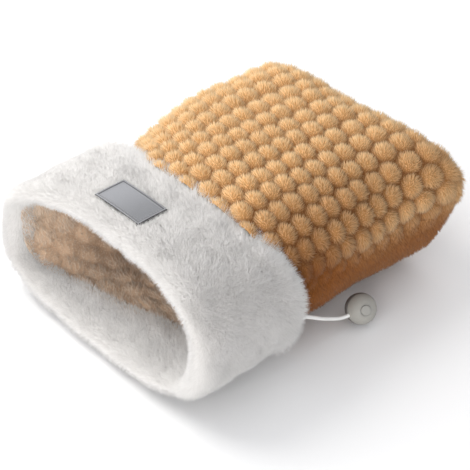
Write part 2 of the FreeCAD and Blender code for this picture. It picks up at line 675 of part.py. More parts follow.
frontBosses = common("front_bosses", screwColumn("front_columns", "sizes.boss_radius",
                                                 "sizes.parting_up", "sizes.front_boss_top"), ball)
frontSolid = fuse("front_solid", common("front_skin", skin, frontHalf), frontBosses)
frontShell = cutAll("front_shell", frontSolid, [
    cylinder("ring_bore", "sizes.ring_radius", "0", wide),
    screwColumn("front_holes", "sizes.shank_radius + sizes.fit_gap", "0",
                "sizes.parting_up + sizes.screw_reach + sizes.screw_tip_gap"),
    leadHole])

ringTube = cut("ring_tube", cylinder("ring_outside", "sizes.ring_radius - sizes.fit_gap", "0", wide),
               cylinder("ring_inside", "sizes.ring_radius - sizes.ring_wide", "-sizes.overshoot", wide))
ring = common("light_ring", ringTube, skin)

cap = common("button_cap", cylinder("button_column", "sizes.button_radius", "sizes.flange_low", wide),
             sphere("button_dome", "sizes.ball_radius + sizes.button_proud"))
button = fuse("button", cap,
              cylinder("button_flange", "sizes.flange_radius", "sizes.flange_low",
                       "sizes.flange_low + sizes.flange_thick"),
              cylinder("button_stem", "sizes.stem_radius", "sizes.stem_low",
                       "sizes.flange_low + sizes.flange_thick"))

board = cut("board", cylinder("board_disc", "sizes.board_radius", boardLow, "sizes.board_up"),
            screwColumn("board_notches", "sizes.boss_radius + sizes.notch_gap", f"-{wide}", wide))
half = "sizes.switch_side / 2"
switchTop = "(sizes.board_up + sizes.switch_height)"
switch = fuse("switch", box("switch_case", (f"-{half}", f"-{half}", "sizes.board_up"),
                            (half, half, switchTop)),
              cylinder("plunger", "sizes.plunger_radius", switchTop,
                       "sizes.stem_low - sizes.button_travel - sizes.fit_gap"))

socketLow = f"({boardLow} - sizes.socket_deep)"
socketCase = box("socket_case", ("-sizes.socket_long / 2", "-sizes.socket_wide / 2", socketLow),
                 ("sizes.socket_long / 2", "sizes.socket_wide / 2", boardLow))
innerLong = "(sizes.socket_long / 2 - sizes.socket_wall)"
innerWide = "(sizes.socket_wide / 2 - sizes.socket_wall)"
socketCavity = box("socket_cavity", (f"-{innerLong}", f"-{innerWide}", f"{socketLow} - sizes.overshoot"),
                   (innerLong, innerWide, f"{boardLow} - sizes.tongue_side"))
tongueEnd = "(sizes.socket_long / 2 - sizes.tongue_side)"
tongue = box("socket_tongue",
             (f"-{tongueEnd}", "-sizes.tongue_thick / 2", f"{socketLow} + sizes.tongue_back"),
             (tongueEnd, "sizes.tongue_thick / 2", f"{boardLow} - sizes.tongue_root"))
socket = fuse("socket", cut("socket_shell", socketCase, socketCavity), tongue)

screws = fuse("screws",
              screwColumn("shanks", "sizes.shank_radius", "sizes.head_low",
                          "sizes.parting_up + sizes.screw_reach"),
              screwColumn("heads", "sizes.head_radius", "sizes.head_low",
                          "sizes.head_low + sizes.head_high"))

clampTube = cut("clamp", cylinder("clamp_outside", "sizes.clamp_radius", "0", "sizes.clamp_length"),
                cylinder("clamp_inside", "sizes.lead_radius + sizes.fit_gap", "-sizes.overshoot",
                         "sizes.clamp_length + sizes.overshoot"))

azimuth, elevation = math.radians(size("ball_azimuth")), math.radians(size("ball_elevation"))
axisWay = FreeCAD.Vector(math.sin(azimuth) * math.cos(elevation),
                         -math.cos(azimuth) * math.cos(elevation), math.sin(elevation))
leadWay = FreeCAD.Vector(0, -1, 0)
leadWay = (leadWay - axisWay * leadWay.dot(axisWay)).normalize()
ballCentre = FreeCAD.Vector(size("ball_x"), size("ball_y"), size("ball_up"))
ballPlace = FreeCAD.Placement(
    ballCentre, FreeCAD.Rotation(leadWay, axisWay.cross(leadWay), axisWay, "ZXY"))
clampPlace = FreeCAD.Placement(
    FreeCAD.Vector(size("clamp_near"), 0, size("parting_up")),
    FreeCAD.Rotation(FreeCAD.Vector(0, 1, 0), 90))
for item, name in ((rearShell, "control_rear_shell"), (frontShell, "control_front_shell"),
                   (ring, "indicator_ring"), (button, "control_button"), (board, "circuit_board"),
                   (switch, "tactile_switch"), (socket, "power_socket"), (screws, "control_screws")):
    keep(item, name)
    item.Placement = ballPlace
keep(clampTube, "lead_crimp")
clampTube.Placement = ballPlace * clampPlace

# ---------- control lead: grommet nose to the ball, hanging a little ----------

entry = ballPlace.multVec(FreeCAD.Vector(size("lead_end"), 0, size("parting_up")))
noseEnd = seamY + size("nose_length")
leadRoute = [
    (exitX, noseEnd, exitUp),
    (exitX, noseEnd + 6.5, exitUp),
    (exitX + 0.2, noseEnd + 15, 29.5),
    (exitX + 0.3, noseEnd + 24, 23),
    (exitX + 0.2, noseEnd + 34, 17),
    tuple(ballCentre + axisWay * size("parting_up") + leadWay * (size("ball_radius") + size("lead_near"))),
    tuple(entry),
]
leadWire = routeWire(leadRoute, "control_lead")
lead = tube("control_lead", leadWire, "sizes.lead_radius")
keep(lead, "control_lead")

# ---------- checks and export ----------

doc.recompute()
section = math.pi * size("lead_radius") ** 2
print("control_lead volume over section times length",
      round(lead.Shape.Volume / (section * leadWire.Length), 3))
faults = [item.Name for item in doc.Objects if "Invalid" in item.State or "Error" in item.State]
faults += [item.Label for item in nodes
           if item.Shape.isNull() or not item.Shape.isValid() or not item.Shape.Solids]
if faults:
    raise SystemExit(f"these failed: {faults}")
for item in nodes:
    item.Shape.exportStep(f"parts/{item.Label}.step")
    print(item.Label, len(item.Shape.Solids), "solids", round(item.Shape.Volume), "mm3")
print(len(nodes), "nodes")
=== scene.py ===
import bpy
import bmesh
import math
import numpy as np
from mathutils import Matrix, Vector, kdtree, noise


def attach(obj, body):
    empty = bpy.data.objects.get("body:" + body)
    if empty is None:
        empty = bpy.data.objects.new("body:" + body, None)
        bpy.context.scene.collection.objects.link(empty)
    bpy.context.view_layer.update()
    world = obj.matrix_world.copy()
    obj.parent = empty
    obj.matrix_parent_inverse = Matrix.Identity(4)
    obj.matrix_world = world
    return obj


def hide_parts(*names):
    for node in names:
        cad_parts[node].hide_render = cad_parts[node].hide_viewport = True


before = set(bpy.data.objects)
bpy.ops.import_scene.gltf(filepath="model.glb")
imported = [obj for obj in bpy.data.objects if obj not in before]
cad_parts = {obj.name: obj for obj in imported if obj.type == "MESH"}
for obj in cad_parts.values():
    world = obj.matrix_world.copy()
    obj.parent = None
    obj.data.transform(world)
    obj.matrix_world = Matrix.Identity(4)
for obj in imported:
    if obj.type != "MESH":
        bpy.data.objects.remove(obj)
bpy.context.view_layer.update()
print("hand warmer: frame loaded")

scene = bpy.context.scene
mm = 0.001


def addObject(name, data):
    piece = bpy.data.objects.new(name, data)
    scene.collection.objects.link(piece)
    return piece


def evaluatedMesh(piece):
    depsgraph = bpy.context.evaluated_depsgraph_get()
    return bpy.data.meshes.new_from_object(piece.evaluated_get(depsgraph), depsgraph=depsgraph)


def readAll(items, key, width=1, kind=np.float32):
    values = np.zeros(len(items) * width, kind)
    items.foreach_get(key, values)
    return values.reshape(-1, width) if width > 1 else values


def smoothFaces(mesh):
    mesh.polygons.foreach_set("use_smooth", np.ones(len(mesh.polygons), bool))


# camera and light

cameraSet = {"place": (0.6667, -0.5972, 0.7312), "target": (0.00588, 0.00644, 0.03739), "lens": 113.6}
cameraData = bpy.data.cameras.new("camera")
cameraData.lens = cameraSet["lens"]
cameraData.sensor_width = 36
cameraData.clip_end = 20
camera = addObject("camera", cameraData)
camera.location = cameraSet["place"]
aim = Vector(cameraSet["target"]) - Vector(cameraSet["place"])
camera.rotation_euler = aim.to_track_quat("-Z", "Y").to_euler()
scene.camera = camera

lightSet = {
    "key": {"from": (-0.70, -0.24, 0.76), "size": 0.8, "power": 7.9, "colour": (1.0, 0.985, 0.96)},
    "fill": {"from": (0.65, -1.15, 0.30), "size": 1.2, "power": 11.5, "colour": (1.0, 0.985, 0.97)},
    "back": {"from": (-0.3, 1.0, 0.9), "size": 0.8, "power": 2.5, "colour": (1.0, 1.0, 1.0)},
    "roomLight": 0.70, "roomColour": (0.96, 0.97, 1.0),
}
for lampName in ("key", "fill", "back"):
    lampSet = lightSet[lampName]
    lampData = bpy.data.lights.new(lampName, "AREA")
    lampData.shape = "DISK"
    lampData.size = lampSet["size"]
    lampData.energy = lampSet["power"]
    lampData.color = lampSet["colour"]
    lamp = addObject(lampName, lampData)
    lamp.location = lampSet["from"]
    lamp.rotation_euler = (-Vector(lampSet["from"])).to_track_quat("-Z", "Y").to_euler()
room = bpy.data.worlds.new("room")
room.use_nodes = True
roomNode = room.node_tree.nodes["Background"]
roomNode.inputs["Color"].default_value = (*lightSet["roomColour"], 1)
roomNode.inputs["Strength"].default_value = lightSet["roomLight"]
scene.world = room
scene.view_settings.view_transform = "Standard"
print("hand warmer: camera and light")


# node helpers

def newNode(tree, kind, place=(0, 0), **settings):
    node = tree.nodes.new(kind)
    node.location = place
    for key, value in settings.items():
        setattr(node, key, value)
    return node


def feed(tree, target, source):
    if hasattr(source, "is_output"):
        tree.links.new(source, target)
    else:
        target.default_value = source


def newMaterial(name):
    material = bpy.data.materials.new(name)
    material.use_nodes = True
    return material, material.node_tree, material.node_tree.nodes["Principled BSDF"]


def nodeGroup(kind, name, inputs, outputs):
    tree = bpy.data.node_groups.new(name, kind)
    for label, socketKind, value in inputs:
        socket = tree.interface.new_socket(name=label, in_out="INPUT", socket_type=socketKind)
        if value is not None:
            socket.default_value = value
    for label, socketKind in outputs:
        tree.interface.new_socket(name=label, in_out="OUTPUT", socket_type=socketKind)
    return tree, newNode(tree, "NodeGroupInput", (-1400, 0)), newNode(tree, "NodeGroupOutput", (1400, 0))


def placeGroup(tree, group, place=(-400, 0), **values):
    node = newNode(tree, "ShaderNodeGroup", place, node_tree=group)
    for label, value in values.items():
        feed(tree, node.inputs[label], value)
    return node


def mixColour(tree, factor, first, second, blend="MIX", place=(0, 0)):
    node = newNode(tree, "ShaderNodeMix", place, data_type="RGBA", blend_type=blend)
    feed(tree, node.inputs[0], factor)
    feed(tree, node.inputs[6], first)
    feed(tree, node.inputs[7], second)
    return node.outputs[2]


def mathNode(tree, operation, first, second=0.0, place=(0, 0), clamp=False):
    node = newNode(tree, "ShaderNodeMath", place, operation=operation, use_clamp=clamp)
    feed(tree, node.inputs[0], first)
    feed(tree, node.inputs[1], second)
    return node.outputs[0]


def attribute(tree, name, place=(-1000, 0)):
    return newNode(tree, "ShaderNodeAttribute", place, attribute_name=name).outputs["Fac"]


floatKind = "NodeSocketFloat"
colourKind = "NodeSocketColor"
geometryKind = "NodeSocketGeometry"
finishKind = "NodeSocketMaterial"

# pile colour: dark at the root, light at the tip, each fibre a little different, with soft patches, and
# mixed towards a shade colour where shade is painted in
pileGroup, pileIn, pileOut = nodeGroup("ShaderNodeTree", "pileColour", [
    ("Root", colourKind, (0.2, 0.2, 0.2, 1)), ("Tip", colourKind, (0.8, 0.8, 0.8, 1)),
    ("Hollow", colourKind, (0.1, 0.1, 0.1, 1)),
    ("Along", floatKind, 0.5), ("Tone", floatKind, 0.5), ("Gap", floatKind, 0.0),
    ("Spread", floatKind, 0.1), ("PatchScale", floatKind, 30), ("PatchDepth", floatKind, 0.1)],
    [("Colour", colourKind), ("Roughness", floatKind)])
pileWhere = newNode(pileGroup, "ShaderNodeTexCoord", (-900, -400))
pileNoise = newNode(pileGroup, "ShaderNodeTexNoise", (-600, -400))
pileGroup.links.new(pileWhere.outputs["Object"], pileNoise.inputs["Vector"])
pileGroup.links.new(pileIn.outputs["PatchScale"], pileNoise.inputs["Scale"])
pileNoise.inputs["Detail"].default_value = 3
pileRise = mathNode(pileGroup, "POWER", pileIn.outputs["Along"], 0.7, (-600, 100))
pileMix = mixColour(pileGroup, pileRise, pileIn.outputs["Root"], pileIn.outputs["Tip"], place=(-300, 100))
# painted shade: the colour is mixed towards the darker shade colour by the amount of shade painted on the
# backing
pileGap = mixColour(pileGroup, pileIn.outputs["Gap"], pileMix, pileIn.outputs["Hollow"], place=(-100, 100))
toneShift = mathNode(pileGroup, "MULTIPLY",
                     mathNode(pileGroup, "SUBTRACT", pileIn.outputs["Tone"], 0.5, (-600, -100)),
                     pileIn.outputs["Spread"], (-400, -100))
patchShift = mathNode(pileGroup, "MULTIPLY",
                      mathNode(pileGroup, "SUBTRACT", pileNoise.outputs["Fac"], 0.5, (-400, -300)),
                      pileIn.outputs["PatchDepth"], (-200, -300))
pileLevel = mathNode(pileGroup, "ADD", mathNode(pileGroup, "ADD", toneShift, patchShift, (0, -200)), 1.0,
                     (150, -200))
pileTint = newNode(pileGroup, "ShaderNodeVectorMath", (350, 0), operation="SCALE")
pileGroup.links.new(pileGap, pileTint.inputs[0])
pileGroup.links.new(pileLevel, pileTint.inputs["Scale"])
pileGroup.links.new(pileTint.outputs[0], pileOut.inputs["Colour"])
toneRough = mathNode(pileGroup, "MULTIPLY", toneShift, 0.6, (300, -300))
pileGroup.links.new(mathNode(pileGroup, "ADD", toneRough, 0.85, (500, -300)), pileOut.inputs["Roughness"])

# fine grain: a bump height and a mask from noise, for mouldings, rubber and cloth backs
grainGroup, grainIn, grainOut = nodeGroup("ShaderNodeTree", "fineGrain", [
    ("Colour", colourKind, (0.5, 0.5, 0.5, 1)), ("Worn", colourKind, (0.6, 0.6, 0.6, 1)),
    ("Scale", floatKind, 900), ("Wear", floatKind, 0.2), ("Roughness", floatKind, 0.5)],
    [("Colour", colourKind), ("Roughness", floatKind), ("Height", floatKind)])
grainWhere = newNode(grainGroup, "ShaderNodeTexCoord", (-900, -300))
grainFine = newNode(grainGroup, "ShaderNodeTexNoise", (-600, -300))
grainWide = newNode(grainGroup, "ShaderNodeTexNoise", (-600, -600))
grainGroup.links.new(grainWhere.outputs["Object"], grainFine.inputs["Vector"])
grainGroup.links.new(grainWhere.outputs["Object"], grainWide.inputs["Vector"])
grainGroup.links.new(grainIn.outputs["Scale"], grainFine.inputs["Scale"])
grainWide.inputs["Scale"].default_value = 120
grainMask = mathNode(grainGroup, "MULTIPLY", grainWide.outputs["Fac"], grainIn.outputs["Wear"], (-300, -500))
grainColour = mixColour(grainGroup, grainMask, grainIn.outputs["Colour"], grainIn.outputs["Worn"],
                        place=(0, 100))
grainGroup.links.new(grainColour, grainOut.inputs["Colour"])
grainGroup.links.new(mathNode(grainGroup, "ADD", grainIn.outputs["Roughness"],
                              mathNode(grainGroup, "MULTIPLY", grainMask, 0.4, (0, -400)), (300, -300)),
                     grainOut.inputs["Roughness"])
grainGroup.links.new(grainFine.outputs["Fac"], grainOut.inputs["Height"])

# weave: two crossing sets of threads, laid along X and Y
weaveGroup, weaveIn, weaveOut = nodeGroup("ShaderNodeTree", "threadWeave", [
    ("Colour", colourKind, (0.5, 0.5, 0.5, 1)), ("Shade", colourKind, (0.4, 0.4, 0.4, 1)),
    ("Threads", floatKind, 120), ("Satin", floatKind, 0.5)],
    [("Colour", colourKind), ("Height", floatKind)])
weaveWhere = newNode(weaveGroup, "ShaderNodeTexCoord", (-1100, -300))
warp = newNode(weaveGroup, "ShaderNodeTexWave", (-700, -200), bands_direction="X")
weft = newNode(weaveGroup, "ShaderNodeTexWave", (-700, -500), bands_direction="Y")
for wave in (warp, weft):
    weaveGroup.links.new(weaveWhere.outputs["Object"], wave.inputs["Vector"])
    weaveGroup.links.new(weaveIn.outputs["Threads"], wave.inputs["Scale"])
    wave.inputs["Distortion"].default_value = 0.4
weftShare = mathNode(weaveGroup, "MULTIPLY", weft.outputs["Fac"], weaveIn.outputs["Satin"], (-400, -500))
weaveMix = mathNode(weaveGroup, "MAXIMUM", warp.outputs["Fac"], weftShare, (-200, -300))
weaveGroup.links.new(mixColour(weaveGroup, weaveMix, weaveIn.outputs["Shade"], weaveIn.outputs["Colour"],
                               place=(200, 100)), weaveOut.inputs["Colour"])
weaveGroup.links.new(weaveMix, weaveOut.inputs["Height"])


def addBump(tree, shader, height, strength, distance):
    bump = newNode(tree, "ShaderNodeBump", (-200, -300))
    bump.inputs["Strength"].default_value = strength
    bump.inputs["Distance"].default_value = distance
    feed(tree, bump.inputs["Height"], height)
    tree.links.new(bump.outputs["Normal"], shader.inputs["Normal"])


def pileMaterial(name, root, tip, shadeTint, spread, patchScale, patchDepth, sheen, onStrands=True):
    material, tree, shader = newMaterial(name)
    along = attribute(tree, "along") if onStrands else 0.15
    tone = attribute(tree, "tone", (-1000, -200)) if onStrands else 0.5
    group = placeGroup(tree, pileGroup, Root=(*root, 1), Tip=(*tip, 1), Hollow=(*shadeTint, 1), Along=along,
                       Tone=tone, Gap=attribute(tree, "gapShade", (-1000, -400)), Spread=spread,
                       PatchScale=patchScale, PatchDepth=patchDepth)
    tree.links.new(group.outputs["Colour"], shader.inputs["Base Color"])
    tree.links.new(group.outputs["Roughness"], shader.inputs["Roughness"])
    shader.inputs["Sheen Weight"].default_value = sheen
    shader.inputs["Sheen Roughness"].default_value = 0.5
    shader.inputs["Specular IOR Level"].default_value = 0.15
    return material


def grainMaterial(name, colour, worn, roughness, scale=900, wear=0.5, bump=0.15, metal=0.0):
    material, tree, shader = newMaterial(name)
    group = placeGroup(tree, grainGroup, Colour=(*colour, 1), Worn=(*worn, 1), Scale=scale, Wear=wear,
                       Roughness=roughness)
    tree.links.new(group.outputs["Colour"], shader.inputs["Base Color"])
    tree.links.new(group.outputs["Roughness"], shader.inputs["Roughness"])
    shader.inputs["Metallic"].default_value = metal
    addBump(tree, shader, group.outputs["Height"], bump, 0.0002)
    return material


def weaveMaterial(name, colour, shade, threads, satin, roughness, sheen, shadedTone=None):
    material, tree, shader = newMaterial(name)
    top = (*colour, 1)
    # painted shade: the face colour is mixed towards a darker tone along the label
    if shadedTone:
        top = mixColour(tree, attribute(tree, "labelShade"), top, (*shadedTone, 1), place=(-700, 200))
    group = placeGroup(tree, weaveGroup, Colour=top, Shade=(*shade, 1), Threads=threads, Satin=satin)
    tree.links.new(group.outputs["Colour"], shader.inputs["Base Color"])
    shader.inputs["Roughness"].default_value = roughness
    shader.inputs["Sheen Weight"].default_value = sheen
    addBump(tree, shader, group.outputs["Height"], 0.25, 0.0002)
    return material


tanPile = pileMaterial("tanPlushPile", (0.80, 0.47, 0.20), (0.98, 0.725, 0.425), (0.30, 0.098, 0.018),
                       0.34, 22, 0.2, 0.10)
tanSkin = pileMaterial("tanPlushBacking", (0.60, 0.33, 0.13), (0.7, 0.42, 0.18), (0.21, 0.07, 0.014),
                       0.2, 60, 0.3, 0.1, onStrands=False)
furPile = pileMaterial("whiteFurPile", (0.86, 0.835, 0.81), (0.96, 0.945, 0.925), (0.74, 0.60, 0.49),
                       0.14, 26, 0.06, 0.2)
furSkin = pileMaterial("whiteFurBacking", (0.88, 0.87, 0.855), (0.9, 0.89, 0.88), (0.70, 0.55, 0.43),
                       0.1, 40, 0.1, 0.1, onStrands=False)
liningPile = pileMaterial("tanLiningPile", (0.72, 0.53, 0.38), (0.88, 0.75, 0.62), (0.56, 0.36, 0.22),
                          0.25, 22, 0.2, 0.1)
liningSkin = pileMaterial("tanLiningBacking", (0.74, 0.54, 0.38), (0.8, 0.6, 0.44), (0.5, 0.32, 0.2),
                          0.2, 60, 0.3, 0.1, onStrands=False)
# the last colour given to the two label finishes is the darker tone of their painted shade
labelCloth = weaveMaterial("greyLabelSatin", (0.32, 0.325, 0.345), (0.24, 0.245, 0.262), 900, 0.6, 0.5, 0.2,
                           (0.14, 0.144, 0.152))
labelRim = weaveMaterial("greyLabelRim", (0.36, 0.365, 0.38), (0.27, 0.275, 0.29), 900, 0.8, 0.6, 0.1,
                         (0.27, 0.275, 0.285))
labelEdge = weaveMaterial("greyLabelEdge", (0.075, 0.075, 0.082), (0.05, 0.05, 0.055), 900, 0.8, 0.6, 0.1)
labelThread = weaveMaterial("greyThread", (0.46, 0.465, 0.48), (0.33, 0.33, 0.35), 1600, 0.5, 0.55, 0.2)
leadSheath = grainMaterial("paleLeadSheath", (0.84, 0.84, 0.82), (0.9, 0.9, 0.88), 0.42, 600, 0.5, 0.1)
grommetRubber = grainMaterial("paleRubber", (0.56, 0.56, 0.55), (0.62, 0.62, 0.60), 0.55, 800, 0.5, 0.15)
ballFront = grainMaterial("greyMoulding", (0.33, 0.32, 0.29), (0.40, 0.39, 0.36), 0.5, 1500, 0.6, 0.2)
ballRear = grainMaterial("darkGreyMoulding", (0.155, 0.145, 0.14), (0.21, 0.2, 0.19), 0.5, 1500, 0.6, 0.2)
buttonFace = grainMaterial("greyButton", (0.325, 0.315, 0.287), (0.38, 0.375, 0.35), 0.45, 1500, 0.6, 0.15)
lightRing = grainMaterial("clearGreyRing", (0.325, 0.315, 0.287), (0.36, 0.36, 0.34), 0.35, 700, 0.4, 0.05)
boardGreen = grainMaterial("boardGreen", (0.01, 0.10, 0.045), (0.02, 0.16, 0.08), 0.35, 700, 0.6, 0.1)
switchBlack = grainMaterial("switchBlack", (0.012, 0.012, 0.014), (0.03, 0.03, 0.032), 0.45, 1500, 0.5, 0.15)
platedMetal = grainMaterial("platedMetal", (0.72, 0.72, 0.73), (0.55, 0.55, 0.56), 0.22, 500, 0.6, 0.05,
                            metal=1.0)
sleeveBlack = grainMaterial("shrunkSleeve", (0.02, 0.02, 0.022), (0.05, 0.05, 0.052), 0.55, 500, 0.6, 0.2)
wireCream = grainMaterial("creamWire", (0.55, 0.50, 0.41), (0.62, 0.58, 0.5), 0.5, 600, 0.5, 0.1)
heaterCloth = weaveMaterial("heaterCloth", (0.72, 0.72, 0.69), (0.6, 0.6, 0.58), 500, 0.9, 0.85, 0.1)
print("hand warmer: materials")


# lead, from the seam to the control ball

leadSet = {
    "thick": 0.003, "length": 0.063, "roundness": 5,
    "route": [(0.107, -0.026, 0.035), (0.107, -0.0195, 0.035), (0.1072, -0.011, 0.0295),
              (0.1073, -0.002, 0.023), (0.1072, 0.008, 0.017), (0.108585, 0.020989, 0.010636),
              (0.111536, 0.030324, 0.01267)],
}
leadCurve = bpy.data.curves.new("controlLead", "CURVE")
leadCurve.dimensions = "3D"
leadLine = leadCurve.splines.new("NURBS")
leadRoute = leadSet["route"]
leadLine.points.add(len(leadRoute) - 1)
for point, place in zip(leadLine.points, leadRoute):
    point.co = (*place, 1)
leadLine.order_u = 3
leadLine.use_endpoint_u = True
leadLine.resolution_u = 12
leadCurve.bevel_depth = leadSet["thick"] / 2
leadCurve.bevel_resolution = leadSet["roundness"]
leadCurve.use_fill_caps = True
leadCurve.materials.append(leadSheath)
lead = addObject("controlLead", leadCurve)
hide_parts("control_lead")
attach(lead, "pouch")
print("hand warmer: lead")


# shape helpers, in millimetres

def smooth(value, low, high):
    t = np.clip((np.asarray(value, float) - low) / (high - low), 0, 1)
    return t * t * (3 - 2 * t)


def evenly(line, count):
    # the same line with its points an even distance apart
    steps = np.linalg.norm(np.diff(line, axis=0), axis=1)
    run = np.concatenate([[0], np.cumsum(steps)])
    at = np.linspace(0, run[-1], count)
    return np.stack([np.interp(at, run, line[:, k]) for k in range(line.shape[1])], axis=1), run[-1]


def roundedLoop(half, low, high, exponent, start, end, count):
    # part of a rounded section across X, between two turns in degrees, evenly spaced
    turn = np.radians(np.linspace(start, end, 721))
    c, s = np.cos(turn), np.sin(turn)
    x = half * np.sign(c) * np.abs(c) ** (2 / exponent)
    z = (low + high) / 2 + (high - low) / 2 * np.sign(s) * np.abs(s) ** (2 / exponent)
    return evenly(np.stack([x, z], axis=1), count)


def gridNormals(grid, wrap=False):
    if wrap:
        around = np.roll(grid, -1, axis=1) - np.roll(grid, 1, axis=1)
    else:
        around = np.gradient(grid, axis=1)
    along = np.gradient(grid, axis=0)
    normal = np.cross(along, around)
    return normal / np.maximum(np.linalg.norm(normal, axis=2, keepdims=True), 1e-9)


def facingWay(grid, row, column, way, wrap=False):
    # normals that point the given way at one place, and whether the faces have to be turned for that
    normal = gridNormals(grid, wrap)
    if float(np.dot(normal[row, column], way)) < 0:
        return -normal, False
    return normal, True


def softNoise(grid, size, seed):
    # smooth noise from about -1 to 1 at every point, with lumps of about that size
    flat = grid.reshape(-1, 3) / size + seed * 17.3
    return np.array([noise.noise(Vector(p)) for p in flat]).reshape(grid.shape[:-1])


def gridMesh(name, grid, wrap=False, flip=False):
    rows, columns = grid.shape[:2]
    mesh = bpy.data.meshes.new(name)
    index = np.arange(rows * columns).reshape(rows, columns)
    right = np.roll(index, -1, axis=1) if wrap else index[:, 1:]
    left = index if wrap else index[:, :-1]
    quads = np.stack([left[:-1], right[:-1], right[1:], left[1:]], axis=-1).reshape(-1, 4)
    if flip:
        quads = quads[:, ::-1]
    mesh.from_pydata((grid.reshape(-1, 3) * mm).tolist(), [], quads.tolist())
    smoothFaces(mesh)
    mesh.update()
    return addObject(name, mesh)


def setField(piece, name, values):
    values = np.asarray(values, np.float32)
    vector = values.ndim == 3
    field = piece.data.attributes.new(name, "FLOAT_VECTOR" if vector else "FLOAT", "POINT")
    field.data.foreach_set("vector" if vector else "value", values.reshape(-1))


def applyModifiers(piece):
    mesh = evaluatedMesh(piece)
    piece.modifiers.clear()
    piece.data = mesh
    mesh.name = piece.name


def thicken(piece, thickness):
    wall = piece.modifiers.new("wall", "SOLIDIFY")
    wall.thickness = thickness * mm
    wall.offset = -1
    wall.use_even_offset = False
    applyModifiers(piece)


# pile: fibres standing on a backing, made with Geometry Nodes

def realPieces(tree, instances, material, place):
    # the instances made real, with their finish
    real = newNode(tree, "GeometryNodeRealizeInstances", place)
    feed(tree, real.inputs["Geometry"], instances)
    finish = newNode(tree, "GeometryNodeSetMaterial", (place[0] + 250, place[1]))
    feed(tree, finish.inputs["Geometry"], real.outputs[0])
    feed(tree, finish.inputs["Material"], material)
    return finish.outputs["Geometry"]


def onPoints(tree, points, shape, rotation, scale, place):
    node = newNode(tree, "GeometryNodeInstanceOnPoints", place)
    for label, source in (("Points", points), ("Instance", shape), ("Rotation", rotation), ("Scale", scale)):
        feed(tree, node.inputs[label], source)
    return node.outputs["Instances"]


def sizes(tree, x, y, z, place):
    node = newNode(tree, "ShaderNodeCombineXYZ", place)
    for k, source in enumerate((x, y, z)):
        feed(tree, node.inputs[k], source)
    return node.outputs[0]


